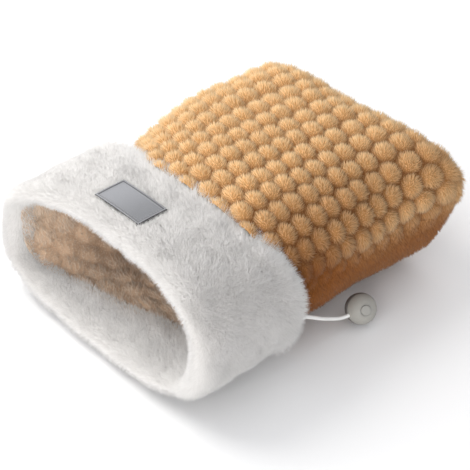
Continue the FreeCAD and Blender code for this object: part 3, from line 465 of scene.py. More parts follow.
def pileTree():
    tree, into, out = nodeGroup("GeometryNodeTree", "pileOnBacking", [
        ("Backing", geometryKind, None), ("Density", floatKind, 500000.0), ("Length", floatKind, 0.006),
        ("Width", floatKind, 0.0008), ("Spread", floatKind, 0.25), ("Uneven", floatKind, 0.25),
        ("Seed", "NodeSocketInt", 3), ("Finish", finishKind, None)], [("Pile", geometryKind)])

    def named(name, kind, place):
        node = newNode(tree, "GeometryNodeInputNamedAttribute", place, data_type=kind)
        node.inputs["Name"].default_value = name
        return node.outputs["Attribute"]

    def store(name, kind, domain, geometry, value, place):
        node = newNode(tree, "GeometryNodeStoreNamedAttribute", place, data_type=kind, domain=domain)
        node.inputs["Name"].default_value = name
        feed(tree, node.inputs["Geometry"], geometry)
        feed(tree, node.inputs["Value"], value)
        return node.outputs["Geometry"]

    def calc(operation, first, second, place):
        return mathNode(tree, operation, first, second, place)

    def vector(operation, first, label, second, place):
        node = newNode(tree, "ShaderNodeVectorMath", place, operation=operation)
        feed(tree, node.inputs[0], first)
        feed(tree, node.inputs[label], second)
        return node.outputs[0]

    def rand(low, high, shift, place):
        node = newNode(tree, "FunctionNodeRandomValue", place, data_type="FLOAT")
        feed(tree, node.inputs[2], low)
        feed(tree, node.inputs[3], high)
        feed(tree, node.inputs["Seed"], calc("ADD", into.outputs["Seed"], shift, (place[0] - 200, place[1])))
        return node.outputs[1]

    scatter = newNode(tree, "GeometryNodeDistributePointsOnFaces", (-900, 0), distribute_method="RANDOM")
    feed(tree, scatter.inputs["Mesh"], into.outputs["Backing"])
    density = calc("MULTIPLY", into.outputs["Density"], named("pileDensity", "FLOAT", (-1400, -300)),
                   (-1150, -200))
    feed(tree, scatter.inputs["Density"], density)
    feed(tree, scatter.inputs["Seed"], into.outputs["Seed"])

    fibre = newNode(tree, "GeometryNodeMeshCone", (-900, 500), fill_type="NONE")
    for label, value in (("Vertices", 3), ("Side Segments", 1), ("Radius Top", 0), ("Radius Bottom", 0.5),
                         ("Depth", 1)):
        fibre.inputs[label].default_value = value
    height = newNode(tree, "ShaderNodeSeparateXYZ", (-900, 750))
    feed(tree, height.inputs[0], newNode(tree, "GeometryNodeInputPosition", (-1100, 750)).outputs[0])
    along = store("along", "FLOAT", "POINT", fibre.outputs["Mesh"], height.outputs[2], (-600, 500))

    # each fibre leans from the backing's normal towards its comb direction, and a little at random
    wild = newNode(tree, "FunctionNodeRandomValue", (-900, -500), data_type="FLOAT_VECTOR")
    wild.inputs[0].default_value = (-1, -1, -1)
    wild.inputs[1].default_value = (1, 1, 1)
    feed(tree, wild.inputs["Seed"], calc("ADD", into.outputs["Seed"], 11.0, (-1100, -500)))
    stray = vector("SCALE", wild.outputs[0], "Scale", into.outputs["Spread"], (-650, -500))
    comb = named("comb", "FLOAT_VECTOR", (-650, -300))
    lean = vector("ADD", scatter.outputs["Normal"], 1, comb, (-450, -300))
    turn = newNode(tree, "FunctionNodeAlignRotationToVector", (-50, -300), axis="Z")
    feed(tree, turn.inputs["Vector"], vector("ADD", lean, 1, stray, (-250, -300)))

    ownLength = named("pileLength", "FLOAT", (-600, -700))
    fullLength = calc("MULTIPLY", into.outputs["Length"], ownLength, (-350, -700))
    shortest = calc("SUBTRACT", 1.0, into.outputs["Uneven"], (-600, -900))
    long = calc("MULTIPLY", fullLength, rand(shortest, 1.0, 23.0, (-350, -900)), (-150, -800))
    scale = sizes(tree, into.outputs["Width"], into.outputs["Width"], long, (50, -700))

    lie = store("lie", "FLOAT_VECTOR", "POINT", scatter.outputs["Points"], scatter.outputs["Normal"], (0, 0))
    stand = onPoints(tree, lie, along, turn.outputs["Rotation"], scale, (250, 0))
    tone = store("tone", "FLOAT", "INSTANCE", stand, rand(0.0, 1.0, 37.0, (250, -300)), (500, 0))
    feed(tree, out.inputs["Pile"], realPieces(tree, tone, into.outputs["Finish"], (750, 0)))
    return tree


pileNodes = pileTree()


def socketId(tree, name):
    return next(i.identifier for i in tree.interface.items_tree
                if i.item_type == "SOCKET" and i.in_out == "INPUT" and i.name == name)


def softenFibres(mesh, share):
    # fibres this fine are lit mostly as the surface that they stand on
    lie = readAll(mesh.attributes["lie"].data, "vector", 3)
    own = readAll(mesh.vertex_normals, "vector", 3)
    mixed = share * lie + (1 - share) * own
    mixed /= np.maximum(np.linalg.norm(mixed, axis=1, keepdims=True), 1e-6)
    mesh.attributes.remove(mesh.attributes["lie"])
    smoothFaces(mesh)
    mesh.normals_split_custom_set_from_vertices(mixed.tolist())


def growPile(name, backing, material, soft=0.7, **values):
    # the backing is copied with the tree on it, and the result becomes a plain mesh
    source = addObject(f"{name}Source", backing.data.copy())
    modifier = source.modifiers.new("pile", "NODES")
    modifier.node_group = pileNodes
    modifier[socketId(pileNodes, "Finish")] = material
    for key, value in values.items():
        modifier[socketId(pileNodes, key)] = value
    mesh = evaluatedMesh(source)
    bpy.data.objects.remove(source)
    mesh.name = name
    # fibres that reach the floor lie down on it, the deepest ones lowest
    place = readAll(mesh.vertices, "co", 3)
    place[:, 2] = np.maximum(place[:, 2], 0.0002 + 0.02 * np.maximum(0, place[:, 2] + 0.007))
    mesh.vertices.foreach_set("co", place.reshape(-1))
    mesh.update()
    fibreCount = len(mesh.vertices) // 4
    layFibreMap(mesh)
    softenFibres(mesh, soft)
    print(f"hand warmer: {name}, {fibreCount} fibres")
    return addObject(name, mesh)


def layFibreMap(mesh):
    # a map with a cell of its own for each fibre, root at the bottom and tip at the top
    side = math.ceil(math.sqrt(max(1, len(mesh.vertices) // 4)))
    loops = readAll(mesh.loops, "vertex_index", kind=np.int32)
    along = readAll(mesh.attributes["along"].data, "value")
    cell = loops // 4
    corner = np.arange(len(loops)) % 3
    u = (cell % side + 0.15 + 0.35 * corner) / side
    v = (cell // side + 0.15 + 0.7 * along[loops]) / side
    layer = mesh.uv_layers.new(name="OFBake")
    layer.data.foreach_set("uv", np.stack([u, v], axis=1).astype(np.float32).reshape(-1))


def finishPiece(piece, body, slotName, *nodes):
    if nodes:
        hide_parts(*nodes)
    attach(piece, body)
    return piece


# body: bubble plush, a top panel and a base panel sewn together at half height

bodySet = {
    "half": 100.6, "low": 3.0, "high": 106.8, "front": -37, "back": 136.5, "columns": 220, "rows": 180,
    "exponent": 3.16, "backSquare": 1.5, "backReach": 30, "backExponent": 4.0, "backDrop": 2.0,
    "backLean": 11, "cornerExponent": 6, "cornerReach": 26, "tuck": 4, "tuckReach": 26, "swell": 2.2,
    "leftBulge": ((-40, -15), (-25, -14), (-10, -11), (0, -8), (20, -2), (40, 3), (60, 5.5), (80, 4.5),
                  (100, 1), (120, -1), (140, -2)),
    "rightEar": 15, "leftEar": 3, "earPlace": (96, 135, 66), "earWide": 24, "earTall": 32,
    "bubbleHigh": 4.4, "columnStep": 17.0, "tuftStep": 14.8, "tuftStretch": 0.78, "tuftRound": 8.6,
    "columnStray": 1.1, "tuftStray": 1.0, "seamDip": 0.4, "wall": 1.6, "floorAt": 1.2,
}


def bodyRows(count):
    # for each row from the cuff to the back seam: y, drop of the top, and how far the sides draw in
    turn = np.radians(np.linspace(0, 90, 400))
    reach = bodySet["backReach"]
    halfHigh = (bodySet["high"] - bodySet["low"]) / 2
    y = bodySet["back"] - reach + reach * np.sin(turn) ** (2 / bodySet["backExponent"])
    drop = halfHigh * (1 - np.cos(turn) ** (2 / bodySet["backExponent"]))
    cornerY = bodySet["back"] - bodySet["cornerReach"]
    inside = np.clip((y - cornerY) / bodySet["cornerReach"], 0, 1)
    power = bodySet["cornerExponent"]
    side = bodySet["cornerReach"] * (1 - (1 - inside ** power) ** (1 / power))
    straight = np.linspace(bodySet["front"], y[0], 200)[:-1]
    line = np.concatenate([np.stack([straight, 0 * straight, 0 * straight], axis=1),
                           np.stack([y, drop, side], axis=1)])
    steps = np.hypot(np.diff(line[:, 0]), np.diff(line[:, 1]))
    run = np.concatenate([[0], np.cumsum(steps)])
    at = np.linspace(0, run[-1], count)
    return np.stack([np.interp(at, run, line[:, k]) for k in range(3)], axis=1), at


def bodyGrid(upper):
    rows, run = bodyRows(bodySet["rows"])
    grid = np.zeros((len(rows), bodySet["columns"], 3))
    arc = np.zeros(grid.shape[:2])
    for k, (y, drop, side) in enumerate(rows):
        ahead = np.clip((y - bodySet["front"]) / bodySet["tuckReach"], 0, 1)
        tuck = bodySet["tuck"] * (1 - ahead) ** 2
        lower = bodySet["backDrop"] * smooth(y, -20, 130)
        swell = bodySet["swell"] * np.sin(np.pi * np.clip((y + 31) / 170, 0, 1))
        half = bodySet["half"] - side - tuck + swell
        high = bodySet["high"] - drop - tuck - lower * (1 - drop / 52)
        low = bodySet["low"] + drop
        power = bodySet["exponent"] + bodySet["backSquare"] * float(smooth(y, 60, 132))
        loop, length = roundedLoop(half, low, max(high, low + 0.02), power, 0 if upper else 360, 180,
                                   bodySet["columns"])
        loop[:, 1] = np.where(loop[:, 1] < bodySet["low"], bodySet["low"], loop[:, 1])
        grid[k, :, 0] = loop[:, 0]
        grid[k, :, 1] = y
        grid[k, :, 2] = loop[:, 1]
        arc[k] = (np.arange(bodySet["columns"]) / (bodySet["columns"] - 1) - 0.5) * length
    grid[:, :, 1] += bodySet["backLean"] * smooth(grid[:, :, 1], 60, 136) * (grid[:, :, 2] - 40) / 70
    # the left side is drawn in behind the cuff and bulges half way along
    places, amounts = zip(*bodySet["leftBulge"])
    bulge = np.interp(grid[:, :, 1], places, amounts) * smooth(grid[:, :, 2], 15, 75)
    bulge = bulge * smooth(-grid[:, :, 0], 10, 95)
    grid[:, :, 0] -= bulge
    grid[:, :, 2] += 0.35 * bulge * smooth(grid[:, :, 2], 60, 95)
    # the sewn corners stand out like a pillow's
    earX, earY, earZ = bodySet["earPlace"]
    for sign, long in ((1, bodySet["rightEar"]), (-1, bodySet["leftEar"])):
        reach = np.hypot(grid[:, :, 0] - sign * earX, grid[:, :, 1] - earY)
        ear = long * np.exp(-(reach / bodySet["earWide"]) ** 2)
        ear = ear * np.exp(-((grid[:, :, 2] - earZ) / bodySet["earTall"]) ** 2)
        grid[:, :, 0] += sign * 0.62 * ear
        grid[:, :, 1] += 0.6 * ear
    return grid, arc, np.repeat(run[:, None], bodySet["columns"], axis=1)


def bubbles(arc, run, seed):
    # round tufts in staggered columns: how domed, how deep in a gap, and the tuft's own number
    dice = np.random.default_rng(seed)
    wander, stray = bodySet["columnStray"], bodySet["tuftStray"]
    tufts = []
    for column in range(-13, 14):
        for row in range(-3, 22):
            shift = 0.5 if column % 2 else 0.0
            tuftX = column * bodySet["columnStep"] + dice.uniform(-wander, wander)
            tuftY = (row + shift) * bodySet["tuftStep"] + dice.uniform(-stray, stray)
            tufts.append((tuftX, tuftY, dice.uniform(0, 1)))
    tufts = np.array(tufts)
    dome, gapShade, own = np.zeros(arc.shape), np.zeros(arc.shape), np.zeros(arc.shape)
    for k in range(arc.shape[0]):
        across = (arc[k][:, None] - tufts[None, :, 0]) * bodySet["tuftStretch"]
        ahead = run[k][:, None] - tufts[None, :, 1]
        far = np.hypot(across, ahead)
        order = np.argpartition(far, 1, axis=1)[:, :2]
        near = np.take_along_axis(far, order, axis=1)
        swap = near[:, 0] > near[:, 1]
        near[swap] = near[swap][:, ::-1]
        order[swap] = order[swap][:, ::-1]
        edge = np.clip((near[:, 1] - near[:, 0]) / 5, 0, 1)
        outward = np.clip(near.min(axis=1) / bodySet["tuftRound"], 0, 1)
        dome[k] = 0.5 + 0.5 * np.cos(np.pi * outward ** 1.3)
        gapShade[k] = np.clip(0.75 * smooth(outward, 0.5, 1.0) + 0.25 * (1 - edge) ** 2, 0, 1)
        own[k] = tufts[order[:, 0], 2]
    return dome, gapShade, own


# cloth: the filling pushes the body's fabric out between its seams

clothSet = {"every": 6, "voxel": 5.5, "pressure": 4.0, "frames": 20, "cap": 5.0, "settle": 0.6,
            "quality": 5, "tension": 20, "bending": 1.0, "seamAt": 54.9, "seamHeld": 3.5, "frontHeld": -30,
            "floorHeld": 5}


def meshPlaces(mesh):
    return readAll(mesh.vertices, "co", 3).astype(float) / mm


def blowUp():
    # a coarse closed body is blown up with its seams pinned; gives places and how far each one moved, in mm
    step = clothSet["every"]
    parts = []
    for upper in (True, False):
        coarse = bodyGrid(upper)[0][::step, ::step]
        parts.append(gridMesh("clothPart", coarse))
    blob = parts[0]
    build = bmesh.new()
    for part in parts:
        build.from_mesh(part.data)
    bmesh.ops.convex_hull(build, input=build.verts)
    build.to_mesh(blob.data)
    build.free()
    remesh = blob.modifiers.new("even", "REMESH")
    remesh.mode = "VOXEL"
    remesh.voxel_size = clothSet["voxel"] * mm
    applyModifiers(blob)
    before = meshPlaces(blob.data)
    seam = np.abs(before[:, 2] - clothSet["seamAt"]) < clothSet["seamHeld"]
    held = seam | (before[:, 1] < clothSet["frontHeld"]) | (before[:, 2] < clothSet["floorHeld"])
    pins = blob.vertex_groups.new(name="held")
    pins.add(np.nonzero(held)[0].tolist(), 1.0, "REPLACE")
    cloth = blob.modifiers.new("cloth", "CLOTH")
    cloth.settings.use_pressure = True
    cloth.settings.uniform_pressure_force = clothSet["pressure"]
    cloth.settings.effector_weights.gravity = 0
    cloth.settings.vertex_group_mass = "held"
    cloth.settings.quality = clothSet["quality"]
    cloth.settings.tension_stiffness = clothSet["tension"]
    cloth.settings.compression_stiffness = clothSet["tension"]
    cloth.settings.bending_stiffness = clothSet["bending"]
    cloth.point_cache.frame_start = 1
    cloth.point_cache.frame_end = clothSet["frames"]
    for frameNumber in range(1, clothSet["frames"] + 1):
        scene.frame_set(frameNumber)
    blown = evaluatedMesh(blob)
    moved = meshPlaces(blown) - before
    bpy.data.meshes.remove(blown)
    for part in parts:
        bpy.data.objects.remove(part)
    scene.frame_set(1)
    far = np.linalg.norm(moved, axis=1)
    print(f"hand warmer: cloth, {len(before)} places, up to {far.max():.1f} mm, mean {far.mean():.1f} mm")
    moved *= np.minimum(1, clothSet["cap"] / np.maximum(far, 1e-6))[:, None]
    tree = kdtree.KDTree(len(before))
    for k, place in enumerate(before):
        tree.insert(place, k)
    tree.balance()
    return tree, moved


blown = blowUp()


def clothMove(grid):
    # the blown-up shape's movement at every fourth point of the grid, spread over the rest
    if blown is None:
        return np.zeros(grid.shape)
    tree, moved = blown
    rows = np.unique(np.append(np.arange(0, grid.shape[0], 4), grid.shape[0] - 1))
    columns = np.unique(np.append(np.arange(0, grid.shape[1], 4), grid.shape[1] - 1))
    sparse = np.zeros((len(rows), len(columns), 3))
    for a, row in enumerate(rows):
        for b, column in enumerate(columns):
            near = tree.find_n(grid[row, column], 6)
            weight = np.array([1 / (n[2] + 1.0) for n in near])
            sparse[a, b] = (moved[[n[1] for n in near]] * weight[:, None]).sum(axis=0) / weight.sum()
    out = np.zeros(grid.shape)
    for axis in range(3):
        wide = np.array([np.interp(np.arange(grid.shape[1]), columns, line) for line in sparse[:, :, axis]])
        out[:, :, axis] = np.array([np.interp(np.arange(grid.shape[0]), rows, line) for line in wide.T]).T
    return out * clothSet["settle"]


def bodyPanel(name, upper):
    grid, arc, run = bodyGrid(upper)
    grid = grid + clothMove(grid)
    normal, flip = facingWay(grid, 40, grid.shape[1] // 2, (0, 0, 1 if upper else -1))
    dome, gapShade, own = bubbles(arc, run, 5 if upper else 6)
    # the tufts are full on the top, flatter at the back seam, and show again low down
    sideFade = smooth(grid[:, :, 2], 36, 66)
    backFade = 1 - 0.55 * smooth(grid[:, :, 1], 118, 138)
    footRelief = 0.45 * (1 - smooth(grid[:, :, 2], 8, 24)) * smooth(grid[:, :, 2], 2, 5)
    relief = np.maximum(sideFade * backFade, footRelief)
    seamAt = np.minimum(np.arange(grid.shape[1]), np.arange(grid.shape[1])[::-1])[None, :] * 1.15
    seamNear = np.exp(-(np.minimum(seamAt, run.max() - run) / 3.2) ** 2)
    lumps = softNoise(grid, 38, 1) * 1.6 + softNoise(grid, 11, 2) * 0.5 * (1 - relief)
    lift = bodySet["bubbleHigh"] * relief * (dome * (0.85 + 0.3 * own) - 0.55)
    lift = lift + lumps - bodySet["seamDip"] * seamNear
    grid = grid + normal * lift[:, :, None]
    grid[:, :, 2] = np.maximum(grid[:, :, 2], bodySet["floorAt"])
    skin = gridMesh(name, grid, flip=flip)
    height = grid[:, :, 2]
    # painted shade: the sides are darker low down, and more of them just behind the cuff, with a little less
    # of it close to the floor
    nearCuff = (1 - smooth(grid[:, :, 1], -15, 55)) * smooth(grid[:, :, 0], 50, 92)
    lowSideShade = (1 - smooth(height - 24 * nearCuff, 38, 76)) * (0.9 + 0.08 * nearCuff)
    lowSideShade = lowSideShade * (1 - 0.35 * (1 - smooth(height, 4, 14)))
    # painted shade: the right side is the shaded one, darkened most next to the cuff, and the tuft gaps are
    # painted darker towards the right
    shade = 0.42 * smooth(grid[:, :, 0], 35, 100) * (1 - 0.5 * smooth(grid[:, :, 1], 20, 100))
    gapShadeStrength = 0.42 + 0.4 * smooth(grid[:, :, 0], -90, 80)
    # all of this is painted into the colour as shade: the tuft gaps, the low sides and the right side; it is
    # also a little darker along the seams
    light = (1 - gapShadeStrength * gapShade * relief) * (1 - lowSideShade) * (1 - shade) * (1 - 0.15 * seamNear)
    setField(skin, "gapShade", np.clip(1 - light, 0, 0.97))
    under = smooth(grid[:, :, 2], 1.5, 9)
    setField(skin, "pileDensity", (0.12 + 0.88 * under) if not upper else np.ones(grid.shape[:2]))
    setField(skin, "pileLength", np.clip(1 - 0.55 * gapShade * relief, 0.35, 1) * (0.6 + 0.4 * sideFade)
             * (1 - 0.35 * seamNear))
    # the pile stands up on the tufts and hangs on the sides
    comb = np.zeros(grid.shape)
    comb[:, :, 2] = 0.35 - 1.1 * (1 - smooth(normal[:, :, 2], 0.0, 0.7))
    comb[:, :, 1] -= 0.1
    setField(skin, "comb", comb)
    return skin


pileSet = {"topDensity": 950000.0, "baseDensity": 620000.0, "plushLength": 0.0054, "plushWidth": 0.0007,
           "stray": 0.3, "topUneven": 0.45, "baseUneven": 0.4, "soft": 0.45}


def growPlush(name, skin, density, uneven, seed):
    return growPile(name, skin, tanPile, soft=pileSet["soft"], Density=density, Uneven=uneven, Seed=seed,
                    Length=pileSet["plushLength"], Width=pileSet["plushWidth"], Spread=pileSet["stray"])


topSkin = bodyPanel("bodyTopPlush", True)
baseSkin = bodyPanel("bodyBasePlush", False)
topPile = growPlush("bodyTopPile", topSkin, pileSet["topDensity"], pileSet["topUneven"], 4)
basePile = growPlush("bodyBasePile", baseSkin, pileSet["baseDensity"], pileSet["baseUneven"], 8)
for piece, nodes in ((topSkin, ("body_top_panel", "top_wadding")),
                     (baseSkin, ("body_base_panel", "base_wadding"))):
    piece.data.materials.append(tanSkin)
    thicken(piece, bodySet["wall"])
    finishPiece(piece, "pouch", "tan_plush", *nodes)
for piece in (topPile, basePile):
    finishPiece(piece, "pouch", "tan_plush")
print("hand warmer: body")


# cuff: fur band outside, facing turned into the mouth

# each loop is its half width, low and high ends and squareness
cuffSet = {
    "outerLoop": (116.0, 5.0, 97.5, 2.7), "lipLoop": (98.5, 13.5, 87, 3.6),
    "throatLoop": (86.5, 18, 88, 3.4), "closeLoop": (90, 11.5, 91.5, 3.4), "front": -131, "rear": -31,
    "around": 288, "rearRows": 6, "wallRows": 62, "rollRows": 46, "facingRows": 34, "rearRound": 7,
    "rearShare": 0.16, "rollReach": 16, "facingEnd": -88, "facingSlope": 0.24, "wall": 1.4,
    "labelAt": (-12, -78), "labelHalf": (27, 16),
}


def cuffLoop(name):
    return roundedLoop(*cuffSet[name], -90, 270, cuffSet["around"] + 1)[0][:-1]


def cuffGrid():
    names = ("outerLoop", "lipLoop", "throatLoop", "closeLoop")
    outer, lip, throat, close = (cuffLoop(name) for name in names)
    centre = np.array([0, (cuffSet["outerLoop"][1] + cuffSet["outerLoop"][2]) / 2])

    def frontAt(x, z):
        recede = 9 * smooth(z, 30, 95) * (1 - np.minimum(1, (x / 95) ** 2))
        return cuffSet["front"] + 0.17 * z + recede

    rows = []
    reach = cuffSet["rollReach"]
    rearDraw = 8 * smooth(outer[:, 0], 50, 112) * (1 - smooth(outer[:, 1], 15, 65))
    # the band turns in behind, down to the lining, and closes the cuff against the body
    away = outer - centre
    edge = centre + away * (1 - cuffSet["rearRound"] / np.linalg.norm(away, axis=1))[:, None]
    for t in np.linspace(0, 1, cuffSet["rearRows"] + 1)[:-1]:
        place = close * (1 - t) + edge * t
        rows.append(np.stack([place[:, 0], cuffSet["rear"] - 2.5 - rearDraw * t, place[:, 1]], axis=1))
    # outer wall, from its rounded rear edge forward
    share = cuffSet["rearShare"]
    for t in np.linspace(0, 1, cuffSet["wallRows"]):
        if t < share:
            turn = t / share * math.pi / 2
            draw = cuffSet["rearRound"] * (1 - math.sin(turn))
            y = cuffSet["rear"] - cuffSet["rearRound"] * (1 - math.cos(turn)) * 0.9
            base = np.full(cuffSet["around"], y) - rearDraw
        else:
            draw = 0
            start = cuffSet["rear"] - cuffSet["rearRound"] * 0.9 - rearDraw
            end = frontAt(outer[:, 0], outer[:, 1]) + reach
            base = start + (end - start) * ((t - share) / (1 - share))
        pull = 1 - draw / np.linalg.norm(away, axis=1)
        place = centre + away * pull[:, None]
        rows.append(np.stack([place[:, 0], base, place[:, 1]], axis=1))
    # the roll
    for t in np.linspace(0, 1, cuffSet["rollRows"])[1:]:
        turn = t * math.pi
        w = (1 - math.cos(turn)) / 2
        place = outer * (1 - w) + lip * w
        y = frontAt(place[:, 0], place[:, 1]) + reach * (1 - math.sin(turn))
        rows.append(np.stack([place[:, 0], y, place[:, 1]], axis=1))
    # the facing inside the mouth
    last = rows[-1][:, 1]
    for t in np.linspace(0, 1, cuffSet["facingRows"])[1:]:
        y = last + (cuffSet["facingEnd"] + cuffSet["facingSlope"] * lip[:, 0] - last) * t
        w = np.clip((y - last) / (cuffSet["rear"] - last), 0, 1)[:, None]
        place = lip * (1 - w) + throat * w
        rows.append(np.stack([place[:, 0], y, place[:, 1]], axis=1))
    return np.array(rows)


cuffRows = cuffGrid()
cuffNormal, cuffFlip = facingWay(cuffRows, 36, cuffSet["around"] // 2, (0, 0, 1), wrap=True)
cuffLump = softNoise(cuffRows, 34, 3) * 1.8 + softNoise(cuffRows, 15, 4) * 0.55
cuffLump = cuffLump + softNoise(cuffRows, 7, 5) * 0.2
cuffRows = cuffRows + cuffNormal * cuffLump[:, :, None]
cuffRows[:, :, 2] = np.maximum(cuffRows[:, :, 2], 2.0)
# clumps: the comb direction wanders, and hangs a little on the sides
cuffComb = np.stack([softNoise(cuffRows, 12, seed) for seed in (6, 7, 8)], axis=2) * 0.3
cuffComb[:, :, 2] -= 0.3
rearRows = (1 - smooth(np.arange(len(cuffRows)) - cuffSet["rearRows"], 9, 19))[:, None]
cuffComb[:, :, 1] += 0.8 * rearRows - 0.25
cuffLength = 0.85 + 0.25 * softNoise(cuffRows, 16, 9)
cuffDensity = 0.35 + 0.65 * smooth(cuffRows[:, :, 2], 3, 14)
cuffDensity[:cuffSet["rearRows"] - 2] *= 0.25
cuffLength *= 1 + 0.7 * rearRows
outerRows = cuffSet["rearRows"] + cuffSet["wallRows"]
splitRow = outerRows + 26
# painted shade: the facing is tinted towards a brownish colour like the lining's where it ends deep in the
# mouth, more so higher up, standing in for shade and for light reflected from the lining; its last fibres
# lie over the lining
cuffInward = np.repeat(smooth(np.arange(len(cuffRows)), len(cuffRows) - 24, len(cuffRows) + 2)[:, None],
                       cuffSet["around"], axis=1) * (0.25 + 0.45 * smooth(cuffRows[:, :, 2], 15, 70))
cuffComb[:, :, 1] += 1.4 * cuffInward
cuffLength *= 1 + 0.5 * cuffInward
# the pile lies flat under the label
underLabel = 1.0
for k in range(2):
    fromLabel = np.abs(cuffRows[:, :, k] - cuffSet["labelAt"][k])
    underLabel = underLabel * smooth(cuffSet["labelHalf"][k] - fromLabel, 0, 3)
underLabel = underLabel * (cuffRows[:, :, 2] > 70) * (np.arange(len(cuffRows)) < outerRows)[:, None]
cuffLength *= 1 - 0.75 * underLabel


def cuffPiece(name, rows, columns=None):
    grid = cuffRows[rows]
    wrap = columns is None
    fields = {"comb": cuffComb[rows], "pileLength": cuffLength[rows], "pileDensity": cuffDensity[rows],
              "gapShade": cuffInward[rows]}
    if not wrap:
        grid = grid[:, columns]
        fields = {key: value[:, columns] for key, value in fields.items()}
    piece = gridMesh(name, grid, wrap=wrap, flip=cuffFlip)
    for key, value in fields.items():
        setField(piece, key, value)
    return piece


furSet = {"density": 4200000.0, "long": 0.0078, "width": 0.0006, "stray": 0.5, "uneven": 0.45, "soft": 0.5,
          "bandParts": 4, "facingDensity": 0.7, "facingLong": 0.9}


def growFur(name, source, seed, density=1.0, long=1.0):
    fur = growPile(name, source, furPile, soft=furSet["soft"], Density=furSet["density"] * density,
                   Length=furSet["long"] * long, Width=furSet["width"], Spread=furSet["stray"],
                   Uneven=furSet["uneven"], Seed=seed)
    bpy.data.objects.remove(source)
    return fur


bandRows = slice(0, splitRow + 1)
facingRows = slice(splitRow, len(cuffRows))
partWide = cuffSet["around"] // furSet["bandParts"]
furPieces = []
for k in range(furSet["bandParts"]):
    columns = np.arange(k * partWide, (k + 1) * partWide + 1) % cuffSet["around"]
    part = cuffPiece(f"bandPart{k}", bandRows, columns)
    furPieces.append(growFur(f"cuffBandFur{k + 1}", part, 20 + k))
furPieces.append(growFur("cuffFacingFur", cuffPiece("facingPart", facingRows), 30, furSet["facingDensity"],
                         furSet["facingLong"]))
bandSkin = cuffPiece("cuffBand", bandRows)
facingSkin = cuffPiece("cuffFacing", facingRows)
for piece, nodes in ((bandSkin, ("cuff_outer_band", "cuff_wadding")), (facingSkin, ("cuff_inner_facing",))):
    piece.data.materials.append(furSkin)
    thicken(piece, cuffSet["wall"])
    finishPiece(piece, "pouch", "white_fur", *nodes)
for piece in furPieces:
    finishPiece(piece, "pouch", "white_fur")
print("hand warmer: cuff")


# lining: tan plush inside the pouch, from the facing to the closed back

liningSet = {
    "frontHalf": 99.5, "frontLow": 12.6, "half": 85, "low": 15.5, "high": 88.5, "front": -93, "back": 118,
    "middle": 55.0, "exponent": 3.4, "columns": 110, "rows": 120, "closing": 34, "drawIn": 30, "wall": 1.2,
    "density": 420000.0, "long": 0.0045, "width": 0.0011, "stray": 0.3, "uneven": 0.4,
}


def liningPanel(name, upper):
    columns = liningSet["columns"]
    deep = liningSet["back"] - liningSet["front"]
    grid = np.zeros((liningSet["rows"], columns, 3))
    arc = np.zeros(grid.shape[:2])
    run = np.zeros(grid.shape[:2])
    middle = liningSet["middle"]
    for k, t in enumerate(np.linspace(0, 1, liningSet["rows"])):
        travel = t * (deep + 30)
        closing = np.clip(travel - (deep - 4), 0, liningSet["closing"]) / liningSet["closing"]
        y = min(liningSet["front"] + travel, liningSet["back"])
        y = liningSet["back"] - 12 * (1 - closing) ** 2 if closing > 0 else y
        w = smooth(y, -110, -31)
        # it starts outside the facing and comes out from under the facing's end
        half = liningSet["frontHalf"] * (1 - w) + liningSet["half"] * w - liningSet["drawIn"] * closing ** 2
        low = liningSet["frontLow"] * (1 - w) + liningSet["low"] * w
        high = liningSet["high"]
        low = low + (middle - low) * closing
        high = high - (high - middle) * closing
        loop, length = roundedLoop(half, low, max(high, low + 0.05), liningSet["exponent"],
                                   0 if upper else 360, 180, columns)
        grid[k, :, 0] = loop[:, 0]
        grid[k, :, 1] = y
        grid[k, :, 2] = loop[:, 1]
        arc[k] = (np.arange(columns) / (columns - 1) - 0.5) * length
        run[k] = travel
    grid[:, :, 1] += cuffSet["facingSlope"] * grid[:, :, 0] * (1 - smooth(grid[:, :, 1], -90, 0))
    normal, flip = facingWay(grid, 40, grid.shape[1] // 2, (0, 0, -1 if upper else 1))
    dome, gapShade, own = bubbles(arc, run, 9 if upper else 10)
    grid = grid + normal * (1.1 * dome * (0.8 + 0.4 * own) - 0.3 + softNoise(grid, 30, 11))[:, :, None]
    skin = gridMesh(name, grid, flip=flip)
    # painted shade: the lining is painted a little darker in the gaps between its tufts
    setField(skin, "gapShade", np.clip(gapShade * 0.28, 0, 1))
    setField(skin, "pileDensity", 0.25 + 0.75 * (1 - smooth(grid[:, :, 1], 0, 60)))
    setField(skin, "pileLength", 1.2 - 0.4 * gapShade)
    setField(skin, "comb", np.zeros(grid.shape) + (0, -0.2, -0.3))
    return skin


for name, upper, node, seed in (("liningTop", True, "top_lining", 40),
                                ("liningBase", False, "base_lining", 41)):
    skin = liningPanel(name, upper)
    pile = growPile(f"{name}Pile", skin, liningPile, Density=liningSet["density"],
                    Length=liningSet["long"], Width=liningSet["width"], Spread=liningSet["stray"],
                    Uneven=liningSet["uneven"], Seed=seed)
    skin.data.materials.append(liningSkin)
    thicken(skin, liningSet["wall"])
    finishPiece(skin, "pouch", "tan_lining", node)
    finishPiece(pile, "pouch", "tan_lining")
print("hand warmer: lining")


# label on the crown of the cuff

labelSet = {
    "x": cuffSet["labelAt"][0], "y": cuffSet["labelAt"][1], "long": 49, "wide": 27, "thick": 1.2,
    "up": 101.4, "sunk": 0.45, "droop": 0.35, "rim": 1.4, "rimHigh": 0.45,
    "edgeSteps": (0, 0.45, 0.9, 1.4, 2.1), "across": 46, "deep": 24, "inset": 3.1, "stitchLong": 1.5, "stitchWide": 0.32, "stitchGap": 0.9,
}


def labelTop(x, y):
    # the label follows the crown of the cuff a little
    return labelSet["up"] - 0.0011 * (x - labelSet["x"]) ** 2 - 0.0012 * (y - labelSet["y"]) ** 2


